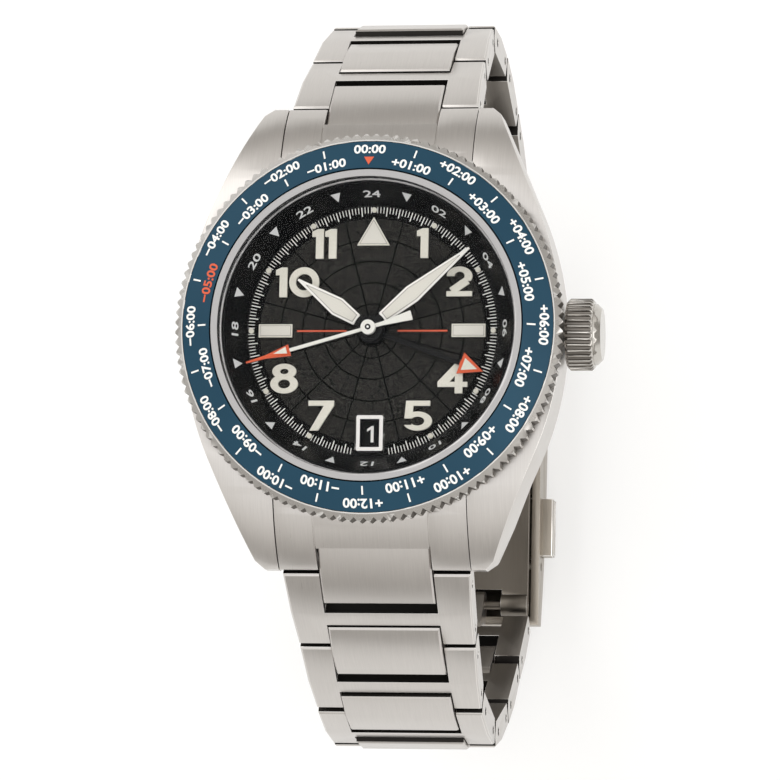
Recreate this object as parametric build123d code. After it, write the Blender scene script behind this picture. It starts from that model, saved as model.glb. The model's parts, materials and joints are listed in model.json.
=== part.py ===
from build123d import *
from math import cos, sin, radians, degrees, atan2, hypot, pi
import os

# A steel world time watch on a bracelet of H-links. The dial faces +Z, 12 o'clock is +Y and the crown is +X.
# The origin is the centre of the case back's outer face. Lengths are in millimetres.

# Main sizes
BEZEL_R = 20.0
LUG_GAP = 20.1
OVERRUN = 2.0

# Case
BACK_DISC = 1.2
BACK_GAP = 0.05
CASE_BOTTOM_Z = BACK_DISC + BACK_GAP
CASE_HEIGHT = 6.95
CASE_TOP_Z = CASE_BOTTOM_Z + CASE_HEIGHT
CASE_INSET = 0.45
CASE_SIDE_X = BEZEL_R - CASE_INSET
CASE_WALL_INSET = 0.25
CASE_WALL_R = CASE_SIDE_X - CASE_WALL_INSET
FLANK_Y = 12.9
FLANK_TAPER = 2.65
FLANK_X = CASE_SIDE_X - FLANK_TAPER
LUG_REACH = 4.1
LUG_TIP_Y = BEZEL_R + LUG_REACH
LUG_TIP_WALL = 1.45
LUG_TIP_X = LUG_GAP / 2 + LUG_TIP_WALL
LUG_CORNER_OUT = 0.9
LUG_CORNER_BACK = 0.8
LUG_CORNER_X = LUG_TIP_X + LUG_CORNER_OUT
LUG_CORNER_Y = LUG_TIP_Y - LUG_CORNER_BACK
LUG_TIP_TOP_Z = 2.7
LUG_TIP_LOW_Z = 1.0
LUG_FOOT_Z = -0.4
LUG_FOOT_BACK = 1.1
LUG_FOOT_Y = LUG_TIP_Y - LUG_FOOT_BACK
LUG_FOOT_LENGTH = 3.5
LUG_HEEL_Y = LUG_FOOT_Y - LUG_FOOT_LENGTH
LUG_HEEL_RISE = 4.5
LUG_ROOT_Y = LUG_HEEL_Y - LUG_HEEL_RISE
LUG_CREST_BACK = 3.9
LUG_CREST_Y = LUG_TIP_Y - LUG_CREST_BACK
LUG_CREST_Z = 6.1

# Bezel and insert
BEZEL_LIFT = 0.15
BEZEL_LOW_Z = CASE_TOP_Z + BEZEL_LIFT
BEZEL_TEETH_HEIGHT = 2.1
BEZEL_TEETH_TOP_Z = BEZEL_LOW_Z + BEZEL_TEETH_HEIGHT
BEZEL_TEETH = 120
BEZEL_TOOTH_DEPTH = 0.42
BEZEL_TOOTH_SHARE = 0.84
BEZEL_CHAMFER = 0.3
BEZEL_RIM = 0.85
INSERT_R = BEZEL_R - BEZEL_RIM
BEZEL_RIM_RISE = 0.65
INSERT_EDGE_Z = BEZEL_TEETH_TOP_Z + BEZEL_RIM_RISE
INSERT_WIDTH = 3.0
INSERT_INNER_R = INSERT_R - INSERT_WIDTH
INSERT_RISE = 1.25
INSERT_INNER_Z = INSERT_EDGE_Z + INSERT_RISE
INSERT_THICK = 0.5
RUNNING_GAP = 0.06
SPRING_GROOVE_INSET = 1.6
SPRING_GROOVE_R = BEZEL_R - SPRING_GROOVE_INSET
SPRING_GROOVE_WIDTH = 1.4
SPRING_GROOVE_INNER_R = SPRING_GROOVE_R - SPRING_GROOVE_WIDTH
SPRING_GROOVE_DEPTH = 0.5
CLICK_PLATE = 0.2
CLICK_OPENING_ANGLE = 25

# Collar, crystal and hour ring
COLLAR_GAP = 0.15
COLLAR_R = INSERT_INNER_R - COLLAR_GAP
COLLAR_WALL = 0.9
CAVITY_R = COLLAR_R - COLLAR_WALL
COLLAR_DROP = 0.05
COLLAR_TOP_Z = INSERT_INNER_Z - COLLAR_DROP
CRYSTAL_SEAT_DEPTH = 1.3
CRYSTAL_SEAT_Z = COLLAR_TOP_Z - CRYSTAL_SEAT_DEPTH
CRYSTAL_SEAT_WALL = 0.7
CRYSTAL_SEAT_R = COLLAR_R - CRYSTAL_SEAT_WALL
CRYSTAL_GAP = 0.05
CRYSTAL_R = CRYSTAL_SEAT_R - CRYSTAL_GAP
CRYSTAL_PROUD = 0.1
CRYSTAL_EDGE_Z = INSERT_INNER_Z + CRYSTAL_PROUD
CRYSTAL_DOME = 0.35
CRYSTAL_TOP_Z = CRYSTAL_EDGE_Z + CRYSTAL_DOME
INNER_GAP = 0.05
HOUR_RING_R = CAVITY_R - INNER_GAP
HOUR_RING_TOP_Z = CRYSTAL_SEAT_Z - INNER_GAP
HOUR_RING_WIDTH = 2.07
HOUR_RING_INNER_R = HOUR_RING_R - HOUR_RING_WIDTH
HOUR_RING_HEIGHT = 3.35
HOUR_RING_LIP = 0.25

# Case back
SKIRT_BORE_CUT = 0.35
SKIRT_BORE_R = CAVITY_R + SKIRT_BORE_CUT
BACK_SKIRT_R = SKIRT_BORE_R - BACK_GAP
BACK_SKIRT_WALL = 0.8
BACK_SKIRT_HEIGHT = 1.15
BACK_SKIRT_TOP_Z = CASE_BOTTOM_Z + BACK_SKIRT_HEIGHT
SKIRT_CLEARANCE = 0.2
SKIRT_BORE_TOP_Z = BACK_SKIRT_TOP_Z + SKIRT_CLEARANCE
BACK_FLANGE = 1.2
BACK_R = BACK_SKIRT_R + BACK_FLANGE
BACK_KEY_SLOTS = 6
BACK_KEY_WIDTH = 1.6
BACK_KEY_DEPTH = 0.5
BACK_KEY_LENGTH = 1.2
GASKET_INSET = 0.5
GASKET_R = BACK_R - GASKET_INSET
GASKET_WIDTH = 0.4
GASKET_DEPTH = 0.25
GASKET_GAP = 0.02

# Dial
DIAL_Z = HOUR_RING_TOP_Z - HOUR_RING_HEIGHT
DIAL_THICK = 0.4
DIAL_R = CAVITY_R - 2 * INNER_GAP
DIAL_BORE_R = 0.95
MARK_HEIGHT = 0.35
NUMERAL_HEIGHT = 3.08
NUMERAL_STROKE = 0.8
NUMERAL_THIN = 0.52
NUMERAL_RING_R = 1.56
NUMERAL_RING_WIDTH = 0.7
TEN_SPREADS = (-1.3, 0.87)
ELEVEN_SPREADS = (-0.55, 0.8)
DOT_INSET = 0.43
DOT_ORBIT_R = HOUR_RING_INNER_R - DOT_INSET
DOT_R = 0.27
# Places of the numerals' middles, as shares of the dots' circle
NUMERAL_PLACE_SHARES = {
    1: (0.422, 0.722),
    2: (0.716, 0.404),
    4: (0.673, -0.395),
    5: (0.391, -0.701),
    7: (-0.405, -0.7),
    8: (-0.717, -0.395),
    10: (-0.637, 0.402),
    11: (-0.401, 0.72),
}
TRIANGLE_INSET = 0.75
TRIANGLE_TIP_Y = DOT_ORBIT_R - TRIANGLE_INSET
TRIANGLE_HEIGHT = 2.95
TRIANGLE_BASE_Y = TRIANGLE_TIP_Y - TRIANGLE_HEIGHT
TRIANGLE_HALF = 1.69
BAR_INSET = 0.8
BAR_END_X = DOT_ORBIT_R - BAR_INSET
BAR_LENGTH = 3.48
BAR_START_X = BAR_END_X - BAR_LENGTH
BAR_HEIGHT = 1.35
DATE_INSET = 1.95
DATE_Y = DATE_INSET - DOT_ORBIT_R
DATE_WINDOW_X = 2.0
DATE_WINDOW_Y = 2.9
DATE_FRAME_WALL = 0.55
DATE_FRAME_X = DATE_WINDOW_X + 2 * DATE_FRAME_WALL
DATE_FRAME_Y = DATE_WINDOW_Y + 2 * DATE_FRAME_WALL
DATE_FRAME_HEIGHT = 0.45
DATE_CORNER_R = 0.35
DATE_DISC_THICK = 0.2
DATE_DISC_OUT = 2.8
DATE_DISC_R = DATE_DISC_OUT - DATE_Y
DATE_DISC_WIDTH = 4.8
DATE_DISC_INNER_R = DATE_DISC_R - DATE_DISC_WIDTH

# Movement plate, under the dial
UNDER_DIAL = 0.85
PLATE_TOP_Z = DIAL_Z - UNDER_DIAL
PLATE_R = DIAL_R
PLATE_SHOULDER_WALL = 0.8
PLATE_SHOULDER_R = PLATE_R - PLATE_SHOULDER_WALL
PLATE_SHOULDER_Z = DIAL_Z - DIAL_THICK - INNER_GAP
PLATE_LIFT = 1.7
PLATE_LOW_Z = CASE_BOTTOM_Z + PLATE_LIFT
DATE_DISC_LIFT = 0.1
DATE_DISC_Z = PLATE_TOP_Z + DATE_DISC_LIFT

# Hands, from the dial up
HAND_THICK = 0.22
HAND_HUB_R = 1.35
GMT_LIFT = 0.55
GMT_Z = DIAL_Z + GMT_LIFT
HOUR_LIFT = 0.5
HOUR_Z = GMT_Z + HOUR_LIFT
MINUTE_LIFT = 0.65
MINUTE_Z = HOUR_Z + MINUTE_LIFT
SECONDS_LIFT = 0.65
SECONDS_Z = MINUTE_Z + SECONDS_LIFT
HUB_HEIGHT = 0.65
HUB_TOP_Z = SECONDS_Z + HUB_HEIGHT
HOUR_ANGLE = 304.3
MINUTE_ANGLE = 50.7
SECONDS_ANGLE = 254.0
GMT_ANGLE = 110.3
HOUR_SHORT = 3.78
HOUR_LENGTH = HOUR_RING_INNER_R - HOUR_SHORT
MINUTE_PAST = 0.12
MINUTE_LENGTH = HOUR_RING_INNER_R + MINUTE_PAST
SECONDS_LENGTH = MINUTE_LENGTH
GMT_SHORT = 0.58
GMT_LENGTH = HOUR_RING_INNER_R - GMT_SHORT
LANCE_START = 1.75
LANCE_ROOT_HALF = 0.62
HOUR_BELLY_HALF = 0.98
HOUR_BELLY = 4.2
MINUTE_BELLY_HALF = 0.95
MINUTE_BELLY = 5.6
LANCE_TIP_HALF = 0.1
STEM_HALF = 0.5
SECONDS_HUB_R = 0.75
SECONDS_HALF = 0.17
SECONDS_TAIL = 4.6
PADDLE_START = 1.5
PADDLE_ROOT_HALF = 0.2
PADDLE_HALF = 0.5
ARROW_HALF = 0.6
ARROW_SHORT = 2.1
ARROW_TIP = SECONDS_LENGTH - ARROW_SHORT
ARROW_LENGTH = 2.55
ARROW_BASE = ARROW_TIP - ARROW_LENGTH
GMT_HALF = 0.24
GMT_HEAD_LENGTH = 2.5
GMT_HEAD_BASE = GMT_LENGTH - GMT_HEAD_LENGTH
GMT_HEAD_HALF = 1.15
ARBOR_R = 0.3
ARBOR_WALL = 0.16
ARBOR_GAP = 0.03

# Crown and setting parts
CROWN_RISE = 3.35
CROWN_AXIS_Z = CASE_BOTTOM_Z + CROWN_RISE
CROWN_GAP = 0.3
CROWN_INNER_X = CASE_SIDE_X + CROWN_GAP
CROWN_FLUTE_LENGTH = 2.85
CROWN_FLUTE_END_X = CROWN_INNER_X + CROWN_FLUTE_LENGTH
CROWN_CAP_HEIGHT = 0.75
CROWN_CAP_X = CROWN_FLUTE_END_X + CROWN_CAP_HEIGHT
CROWN_R = 3.7
CROWN_CAP_STEP = 0.55
CROWN_CAP_R = CROWN_R - CROWN_CAP_STEP
CROWN_FLUTES = 36
CROWN_FLUTE_R = 0.24
CROWN_WALL = 1.1
CROWN_DISH_R = CROWN_R - CROWN_WALL
CROWN_DISH_DEPTH = 1.9
CROWN_BREAK = 0.35
CROWN_CAP_BREAK = 0.5
TUBE_R = 1.25
TUBE_BORE_R = 0.8
TUBE_SET_IN = 0.5
TUBE_START_X = CAVITY_R + TUBE_SET_IN
TUBE_PAST = 1.55
TUBE_END_X = CROWN_INNER_X + TUBE_PAST
STEM_R = 0.6
STEM_INSIDE = 9.0
STEM_START_X = PLATE_R - STEM_INSIDE
STEM_SHORT = 0.3
STEM_END_X = CROWN_FLUTE_END_X - STEM_SHORT
STEM_NECK_IN = 3.0
STEM_NECK_X = STEM_START_X + STEM_NECK_IN
STEM_NECK_LENGTH = 0.8
STEM_NECK_R = 0.35
CROWN_TRAVEL = 1.2
LEVER_THICK = 0.5
LEVER_WIDTH = 1.8
LEVER_LENGTH = 2.6

# Movement
ROTOR_LIFT = 0.3
ROTOR_Z = CASE_BOTTOM_Z + ROTOR_LIFT
ROTOR_THICK = 0.35
ROTOR_INSET = 1.6
ROTOR_R = PLATE_R - ROTOR_INSET
ROTOR_RIM = 2.4
ROTOR_RIM_THICK = 1.0
ROTOR_BEARING_R = 2.0
ROTOR_POST_R = 0.9
POCKET_DEPTH = 1.95
POCKET_FLOOR_Z = PLATE_LOW_Z + POCKET_DEPTH
POCKET_GAP = 0.25
POST_R = 0.45
POST_HUB_R = 0.9
# Middles of the barrel and the balance, as shares of the plate's radius
BARREL_PLACE_SHARES = (-0.4133, 0.3067)
BARREL_X = BARREL_PLACE_SHARES[0] * PLATE_R
BARREL_Y = BARREL_PLACE_SHARES[1] * PLATE_R
BARREL_R = 5.2
BARREL_THICK = 1.3
BARREL_TEETH = 60
BARREL_TOOTH = 0.25
BALANCE_PLACE_SHARES = (0.2133, -0.5267)
BALANCE_X = BALANCE_PLACE_SHARES[0] * PLATE_R
BALANCE_Y = BALANCE_PLACE_SHARES[1] * PLATE_R
BALANCE_R = 4.3
BALANCE_RIM = 0.7
BALANCE_THICK = 0.5
BALANCE_SPOKE = 0.8

# Bracelet
SPRING_BAR_BACK = 2.7
SPRING_BAR_Y = LUG_TIP_Y - SPRING_BAR_BACK
SPRING_BAR_RISE = 1.1
SPRING_BAR_Z = LUG_TIP_LOW_Z + SPRING_BAR_RISE
SPRING_BAR_R = 0.75
SPRING_BAR_IN_LUG = 1.1
FIRST_LINK_ANGLE = 40.0
FIRST_PIN_SPACING = 4.9
H_ANGLES_12 = (52.6, 60.5, 95.7, 112.8, 123.0, 129.0)
H_ANGLES_6 = (51.9, 57.5, 76.1, 106.8, 120.5, 125.0)
H_LENGTH = 10.55
H_NEAR_PIN = 2.5
H_FAR_PIN = 1.46
LINK_HALF_THICK = 1.55
H_SLOT = 1.25
H_BAR_START = H_NEAR_PIN + LINK_HALF_THICK + H_SLOT
H_BAR_GAP = 0.24
H_BAR_END = H_LENGTH - H_FAR_PIN - LINK_HALF_THICK - H_BAR_GAP
H_EDGE = 1.2
H_RIDGE = 1.65
H_END_RELIEF = 0.8
H_SIDE_GAP = 0.27
H_TAPER = 0.48
H_SECOND_TAPER = 0.45
H_HALF_WIDTH_START = LUG_GAP / 2 - H_SIDE_GAP
H_HALF_WIDTH_AFTER_ONE = H_HALF_WIDTH_START - H_TAPER
H_HALF_WIDTH = H_HALF_WIDTH_AFTER_ONE - H_SECOND_TAPER
CENTRE_PIN_SPACING = 4.41
ARM_WIDTH = 2.87
ARM_GAP = 0.13
CENTRE_HALF_WIDTH = H_HALF_WIDTH - ARM_WIDTH - ARM_GAP
CENTRE_EDGE = 1.6
CENTRE_RIDGE = 2.05
LINK_BREAK = 0.18
PIN_R = 0.5
PIN_GAP = 0.03
PIN_RECESS = 0.7
END_LINK_GAP = 0.1
END_LINK_DROP = 0.12
END_LINK_LOW_Z = -0.2
END_LINK_TO_H = 0.45
END_LINK_POCKET_R = 2.6
END_LINK_GROOVE_WIDTH = 0.14
END_LINK_GROOVE_DEPTH = 0.15

nodes = {}


# Small helpers
def disc(radius, low, high, x=0, y=0):
    return Pos(x, y, (low + high) / 2) * Cylinder(radius, high - low)


def ring(outer, inner, low, high, x=0, y=0):
    return disc(outer, low, high, x, y) - disc(inner, low - OVERRUN, high + OVERRUN, x, y)


def block(x0, x1, y0, y1, z0, z1):
    centre = Pos((x0 + x1) / 2, (y0 + y1) / 2, (z0 + z1) / 2)
    return centre * Box(x1 - x0, y1 - y0, z1 - z0)


def rod_x(radius, x0, x1, y, z):
    centre = Pos((x0 + x1) / 2, y, z)
    return centre * Rot(0, 90, 0) * Cylinder(radius, x1 - x0)


def turned(points):
    # A turned piece from its half section, given as radius and height
    section = Plane.XZ * make_face(Polyline(*points, close=True))
    return revolve(section, Axis.Z)


def plate(points, low, high):
    face = make_face(Polyline(*points, close=True))
    return Pos(0, 0, low) * extrude(face, high - low)


def across(face, half):
    # A section drawn as (y, z), drawn out to both sides of the middle plane
    return extrude(Plane.YZ * face, half, both=True)


def turned_to(angle, shape):
    # Clock angle, clockwise from 12
    return Rot(0, 0, -angle) * shape


def clock(angle, radius):
    return (radius * sin(radians(angle)), radius * cos(radians(angle)))


# Case middle
def lug_line():
    deck = Line((0, CASE_TOP_Z), (FLANK_Y, CASE_TOP_Z))
    slope = ThreePointArc((FLANK_Y, CASE_TOP_Z), (LUG_CREST_Y, LUG_CREST_Z), (LUG_TIP_Y, LUG_TIP_TOP_Z))
    return deck, slope


def case_side_face():
    deck, slope = lug_line()
    low = Polyline(
        (LUG_TIP_Y, LUG_TIP_TOP_Z),
        (LUG_TIP_Y, LUG_TIP_LOW_Z),
        (LUG_FOOT_Y, LUG_FOOT_Z),
        (LUG_HEEL_Y, LUG_FOOT_Z),
        (LUG_ROOT_Y, CASE_BOTTOM_Z),
        (0, CASE_BOTTOM_Z),
        (0, CASE_TOP_Z),
    )
    half = make_face([deck, slope, low])
    return half + mirror(half, Plane.YZ)


def case_plan_face():
    corner = Polyline(
        (0, LUG_TIP_Y), (LUG_TIP_X, LUG_TIP_Y), (LUG_CORNER_X, LUG_CORNER_Y), (FLANK_X, FLANK_Y)
    )
    flank = TangentArc((CASE_SIDE_X, 0), (FLANK_X, FLANK_Y), tangent=(0, 1, 0))
    close = Polyline((CASE_SIDE_X, 0), (0, 0), (0, LUG_TIP_Y))
    quarter = make_face([corner, flank, close])
    half = quarter + mirror(quarter, Plane.YZ)
    return half + mirror(half, Plane.XZ)


def mid_case():
    height = CASE_TOP_Z - LUG_FOOT_Z
    body = Pos(0, 0, LUG_FOOT_Z) * extrude(case_plan_face(), height)
    body = body & across(case_side_face(), CASE_SIDE_X + OVERRUN)
    low, high = LUG_FOOT_Z - OVERRUN, CASE_TOP_Z + OVERRUN
    gap = block(-LUG_GAP / 2, LUG_GAP / 2, 0, LUG_TIP_Y + OVERRUN, low, high)
    wall = disc(CASE_WALL_R, LUG_FOOT_Z - OVERRUN, CASE_TOP_Z + OVERRUN)
    body = body - (gap - wall) - (mirror(gap, Plane.XZ) - wall)
    under = block(-LUG_GAP / 2, LUG_GAP / 2, -LUG_TIP_Y, LUG_TIP_Y, LUG_FOOT_Z - OVERRUN, CASE_BOTTOM_Z)
    body = body - under + disc(COLLAR_R, CASE_BOTTOM_Z, COLLAR_TOP_Z)
    body = body - disc(CAVITY_R, CASE_BOTTOM_Z - OVERRUN, COLLAR_TOP_Z + OVERRUN)
    body = body - disc(CRYSTAL_SEAT_R, CRYSTAL_SEAT_Z, COLLAR_TOP_Z + OVERRUN)
    body = body - disc(SKIRT_BORE_R, LUG_FOOT_Z - OVERRUN, SKIRT_BORE_TOP_Z)
    groove_low = CASE_TOP_Z - SPRING_GROOVE_DEPTH
    body = body - ring(SPRING_GROOVE_R, SPRING_GROOVE_INNER_R, groove_low, CASE_TOP_Z + OVERRUN)
    body = body - rod_x(TUBE_R, 0, CROWN_INNER_X + OVERRUN, 0, CROWN_AXIS_Z)
    for side in (1, -1):
        reach = LUG_GAP / 2 + SPRING_BAR_IN_LUG + PIN_GAP
        body = body - rod_x(SPRING_BAR_R + PIN_GAP, -reach, reach, side * SPRING_BAR_Y, SPRING_BAR_Z)
    return body


def case_back():
    body = disc(BACK_R, 0, BACK_DISC)
    body = body + ring(BACK_SKIRT_R, BACK_SKIRT_R - BACK_SKIRT_WALL, BACK_DISC, BACK_SKIRT_TOP_Z)
    body = body - ring(GASKET_R + GASKET_GAP, GASKET_R - GASKET_WIDTH - GASKET_GAP,
                       BACK_DISC - GASKET_DEPTH, BACK_DISC + OVERRUN)
    for slot in range(BACK_KEY_SLOTS):
        cut = block(BACK_R - BACK_KEY_LENGTH, BACK_R + OVERRUN, -BACK_KEY_WIDTH / 2, BACK_KEY_WIDTH / 2,
                    -OVERRUN, BACK_KEY_DEPTH)
        body = body - Rot(0, 0, slot * 360 / BACK_KEY_SLOTS) * cut
    return body


def case_gasket():
    return ring(GASKET_R, GASKET_R - GASKET_WIDTH, BACK_DISC - GASKET_DEPTH, CASE_BOTTOM_Z)


# Bezel
def bezel():
    inner = COLLAR_R + RUNNING_GAP
    body = turned([
        (inner, BEZEL_LOW_Z),
        (BEZEL_R - BEZEL_CHAMFER, BEZEL_LOW_Z),
        (BEZEL_R, BEZEL_LOW_Z + BEZEL_CHAMFER),
        (BEZEL_R, BEZEL_TEETH_TOP_Z),
        (INSERT_R + INSERT_THICK / 4, INSERT_EDGE_Z),
        (INSERT_R, INSERT_EDGE_Z),
        (INSERT_R, INSERT_EDGE_Z - INSERT_THICK - RUNNING_GAP),
        (inner, INSERT_INNER_Z - INSERT_THICK - RUNNING_GAP),
    ])
    pitch = 2 * pi * BEZEL_R / BEZEL_TEETH
    half = pitch * BEZEL_TOOTH_SHARE / 2
    root = BEZEL_R - BEZEL_TOOTH_DEPTH
    low = BEZEL_LOW_Z - OVERRUN
    high = BEZEL_TEETH_TOP_Z + OVERRUN
    notch = plate([(root, 0), (BEZEL_R + half, 2 * half), (BEZEL_R + half, -2 * half)], low, high)
    notches = [Rot(0, 0, n * 360 / BEZEL_TEETH) * notch for n in range(BEZEL_TEETH)]
    return body - notches


def bezel_insert():
    return turned([
        (INSERT_R - RUNNING_GAP, INSERT_EDGE_Z - INSERT_THICK),
        (INSERT_R - RUNNING_GAP, INSERT_EDGE_Z),
        (INSERT_INNER_R, INSERT_INNER_Z),
        (INSERT_INNER_R, INSERT_INNER_Z - INSERT_THICK),
    ])


def bezel_click_spring():
    low = CASE_TOP_Z - SPRING_GROOVE_DEPTH
    body = ring(SPRING_GROOVE_R - RUNNING_GAP, SPRING_GROOVE_INNER_R + RUNNING_GAP, low, low + CLICK_PLATE)
    cut = plate([(0, 0), clock(-CLICK_OPENING_ANGLE / 2, BEZEL_R), clock(CLICK_OPENING_ANGLE / 2, BEZEL_R)],
                low - OVERRUN, low + OVERRUN)
    return body - cut


# Crystal, hour ring and dial
def crystal():
    rise = CRYSTAL_TOP_Z - CRYSTAL_EDGE_Z
    dome_r = (CRYSTAL_R ** 2 + rise ** 2) / (2 * rise)
    dome = Pos(0, 0, CRYSTAL_TOP_Z - dome_r) * Sphere(dome_r)
    return disc(CRYSTAL_R, CRYSTAL_SEAT_Z, CRYSTAL_TOP_Z) & dome


def hour_ring():
    return turned([
        (HOUR_RING_INNER_R, DIAL_Z),
        (HOUR_RING_R, DIAL_Z),
        (HOUR_RING_R, HOUR_RING_TOP_Z),
        (HOUR_RING_R - HOUR_RING_LIP, HOUR_RING_TOP_Z),
        (HOUR_RING_INNER_R, DIAL_Z + HOUR_RING_LIP),
    ])


def dial():
    body = disc(DIAL_R, DIAL_Z - DIAL_THICK, DIAL_Z)
    body = body - disc(DIAL_BORE_R, DIAL_Z - OVERRUN, DIAL_Z + OVERRUN)
    half_x = DATE_WINDOW_X / 2
    half_y = DATE_WINDOW_Y / 2
    window = block(-half_x, half_x, DATE_Y - half_y, DATE_Y + half_y, DIAL_Z - OVERRUN, DIAL_Z + OVERRUN)
    return body - window


# Numerals, drawn from strokes about their own centre
def stroke(x0, y0, x1, y1, width=NUMERAL_STROKE):
    length = hypot(x1 - x0, y1 - y0)
    angle = degrees(atan2(y1 - y0, x1 - x0))
    return Pos((x0 + x1) / 2, (y0 + y1) / 2) * Rot(0, 0, angle) * Rectangle(length, width)


def oval(x, y, half_wide, half_high):
    inside = Ellipse(half_wide - NUMERAL_STROKE, half_high - NUMERAL_THIN)
    return Pos(x, y) * (Ellipse(half_wide, half_high) - inside)


def shape(*points):
    return make_face(Polyline(*points, close=True))


TOP = NUMERAL_HEIGHT / 2


def digit_0():
    return Circle(NUMERAL_RING_R) - Circle(NUMERAL_RING_R - NUMERAL_RING_WIDTH)


def digit_1():
    wide = NUMERAL_STROKE
    return shape((-wide, TOP - wide), (-wide, TOP - wide / 3), (-wide / 4, TOP), (wide / 2, TOP),
                 (wide / 2, -TOP), (-wide / 2, -TOP), (-wide / 2, TOP - wide))


def digit_2():
    half_wide = NUMERAL_HEIGHT * 0.43
    half_high = NUMERAL_HEIGHT * 0.32
    middle = TOP - half_high
    arc = oval(0, middle, half_wide, half_high)
    arc = arc - Pos(-half_wide / 2, middle - half_high / 2) * Rectangle(half_wide, half_high)
    arc = arc - Pos(0, middle - half_high) * Rectangle(4 * half_wide, half_high)
    shoulder = half_wide - NUMERAL_STROKE * 0.62
    slope = stroke(NUMERAL_THIN - half_wide, NUMERAL_THIN - TOP, shoulder, middle - half_high * 0.45)
    base = Pos(0, -TOP + NUMERAL_THIN / 2) * Rectangle(2 * half_wide, NUMERAL_THIN)
    return arc + slope + base


def digit_4():
    half_wide = NUMERAL_HEIGHT / 2
    stem_x = NUMERAL_STROKE * 0.8
    bar_y = -TOP * 0.4
    stem = Pos(stem_x, 0) * Rectangle(NUMERAL_STROKE, NUMERAL_HEIGHT)
    bar = Pos(0, bar_y) * Rectangle(2 * half_wide, NUMERAL_THIN)
    low = bar_y - NUMERAL_THIN / 2
    high = bar_y + NUMERAL_THIN / 2
    left = stem_x - NUMERAL_STROKE / 2
    rise = shape((-half_wide, low), (-half_wide, high), (left, TOP), (stem_x, TOP),
                 (stem_x, TOP - NUMERAL_STROKE), (NUMERAL_STROKE - half_wide, low))
    return stem + bar + rise


def digit_5():
    half_wide = NUMERAL_HEIGHT * 0.49
    half_high = NUMERAL_HEIGHT * 0.32
    bowl_y = half_high - TOP
    left = NUMERAL_STROKE * 0.4 - half_wide
    flag = shape((left, TOP), (half_wide * 0.85, TOP), (half_wide * 0.85, TOP - NUMERAL_THIN),
                 (left, TOP - NUMERAL_THIN))
    spine = shape((left, TOP), (left + NUMERAL_STROKE, TOP), (left + NUMERAL_STROKE * 0.8, bowl_y * 0.5),
                  (left - NUMERAL_STROKE * 0.2, bowl_y * 0.5))
    arc = oval(0, bowl_y, half_wide, half_high)
    arc = arc - Pos(-half_wide, bowl_y) * Rectangle(half_wide * 1.2, NUMERAL_STROKE)
    return flag + spine + arc


def digit_7():
    half_wide = NUMERAL_HEIGHT * 0.43
    heel = -NUMERAL_STROKE * 0.35
    return shape((-half_wide, TOP), (half_wide, TOP), (half_wide, TOP - NUMERAL_THIN), (heel, -TOP),
                 (heel - NUMERAL_STROKE * 1.1, -TOP), (half_wide - NUMERAL_STROKE * 1.3, TOP - NUMERAL_THIN),
                 (-half_wide, TOP - NUMERAL_THIN))


def digit_8():
    upper = NUMERAL_HEIGHT * 0.26
    lower = NUMERAL_HEIGHT * 0.32
    upper_bowl = oval(0, TOP - upper, NUMERAL_HEIGHT * 0.405, upper)
    return upper_bowl + oval(0, lower - TOP, NUMERAL_HEIGHT * 0.465, lower)


DIGITS = {0: digit_0, 1: digit_1, 2: digit_2, 4: digit_4, 5: digit_5, 7: digit_7, 8: digit_8}


def on_dial(face, x, y):
    return Pos(x, y, DIAL_Z) * extrude(face, MARK_HEIGHT)


def hour_markers():
    solids = []
    for hour, shares in NUMERAL_PLACE_SHARES.items():
        x, y = (share * DOT_ORBIT_R for share in shares)
        if hour < 10:
            solids.append(on_dial(DIGITS[hour](), x, y))
        else:
            first, second = TEN_SPREADS if hour == 10 else ELEVEN_SPREADS
            solids.append(on_dial(digit_1(), x + first, y))
            solids.append(on_dial(DIGITS[hour - 10](), x + second, y))
    for hour in range(12):
        if hour != 6:
            x, y = clock(hour * 30, DOT_ORBIT_R)
            solids.append(on_dial(Circle(DOT_R), x, y))
    points = [(-TRIANGLE_HALF, TRIANGLE_BASE_Y), (TRIANGLE_HALF, TRIANGLE_BASE_Y), (0, TRIANGLE_TIP_Y)]
    solids.append(plate(points, DIAL_Z, DIAL_Z + MARK_HEIGHT))
    for side in (1, -1):
        middle = side * (BAR_START_X + BAR_END_X) / 2
        solids.append(on_dial(Rectangle(BAR_END_X - BAR_START_X, BAR_HEIGHT), middle, 0))
    return Compound(solids)


def date_frame():
    outer = RectangleRounded(DATE_FRAME_X, DATE_FRAME_Y, DATE_CORNER_R)
    frame = extrude(outer, DATE_FRAME_HEIGHT)
    rim = frame.faces().sort_by(Axis.Z)[-1].edges()
    frame = chamfer(rim, DATE_CORNER_R / 2)
    window = extrude(Rectangle(DATE_WINDOW_X, DATE_WINDOW_Y), 2 * OVERRUN, both=True)
    return Pos(0, DATE_Y, DIAL_Z) * (frame - window)


def date_disc():
    return ring(DATE_DISC_R, DATE_DISC_INNER_R, DATE_DISC_Z, DATE_DISC_Z + DATE_DISC_THICK)


# Hands, drawn pointing to 12 and turned to their place
def arbor_bore(level):
    return ARBOR_R + ARBOR_WALL * level


def lance_hand(length, belly, belly_half, low, level):
    # The tube under each hand reaches down past the hands below it
    outline = [
        (-STEM_HALF, 0), (-STEM_HALF, LANCE_START), (-LANCE_ROOT_HALF, LANCE_START),
        (-belly_half, belly), (-LANCE_TIP_HALF, length), (LANCE_TIP_HALF, length),
        (belly_half, belly), (LANCE_ROOT_HALF, LANCE_START), (STEM_HALF, LANCE_START), (STEM_HALF, 0),
    ]
    body = plate(outline, low, low + HAND_THICK) + disc(HAND_HUB_R, low, low + HAND_THICK)
    return hand_on_tube(body, low, level)


def hand_on_tube(body, low, level):
    inner = arbor_bore(level) - ARBOR_WALL + ARBOR_GAP
    tube = disc(arbor_bore(level), PLATE_TOP_Z, low + HAND_THICK)
    return body + tube - disc(inner, PLATE_TOP_Z - OVERRUN, low + OVERRUN)


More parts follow.
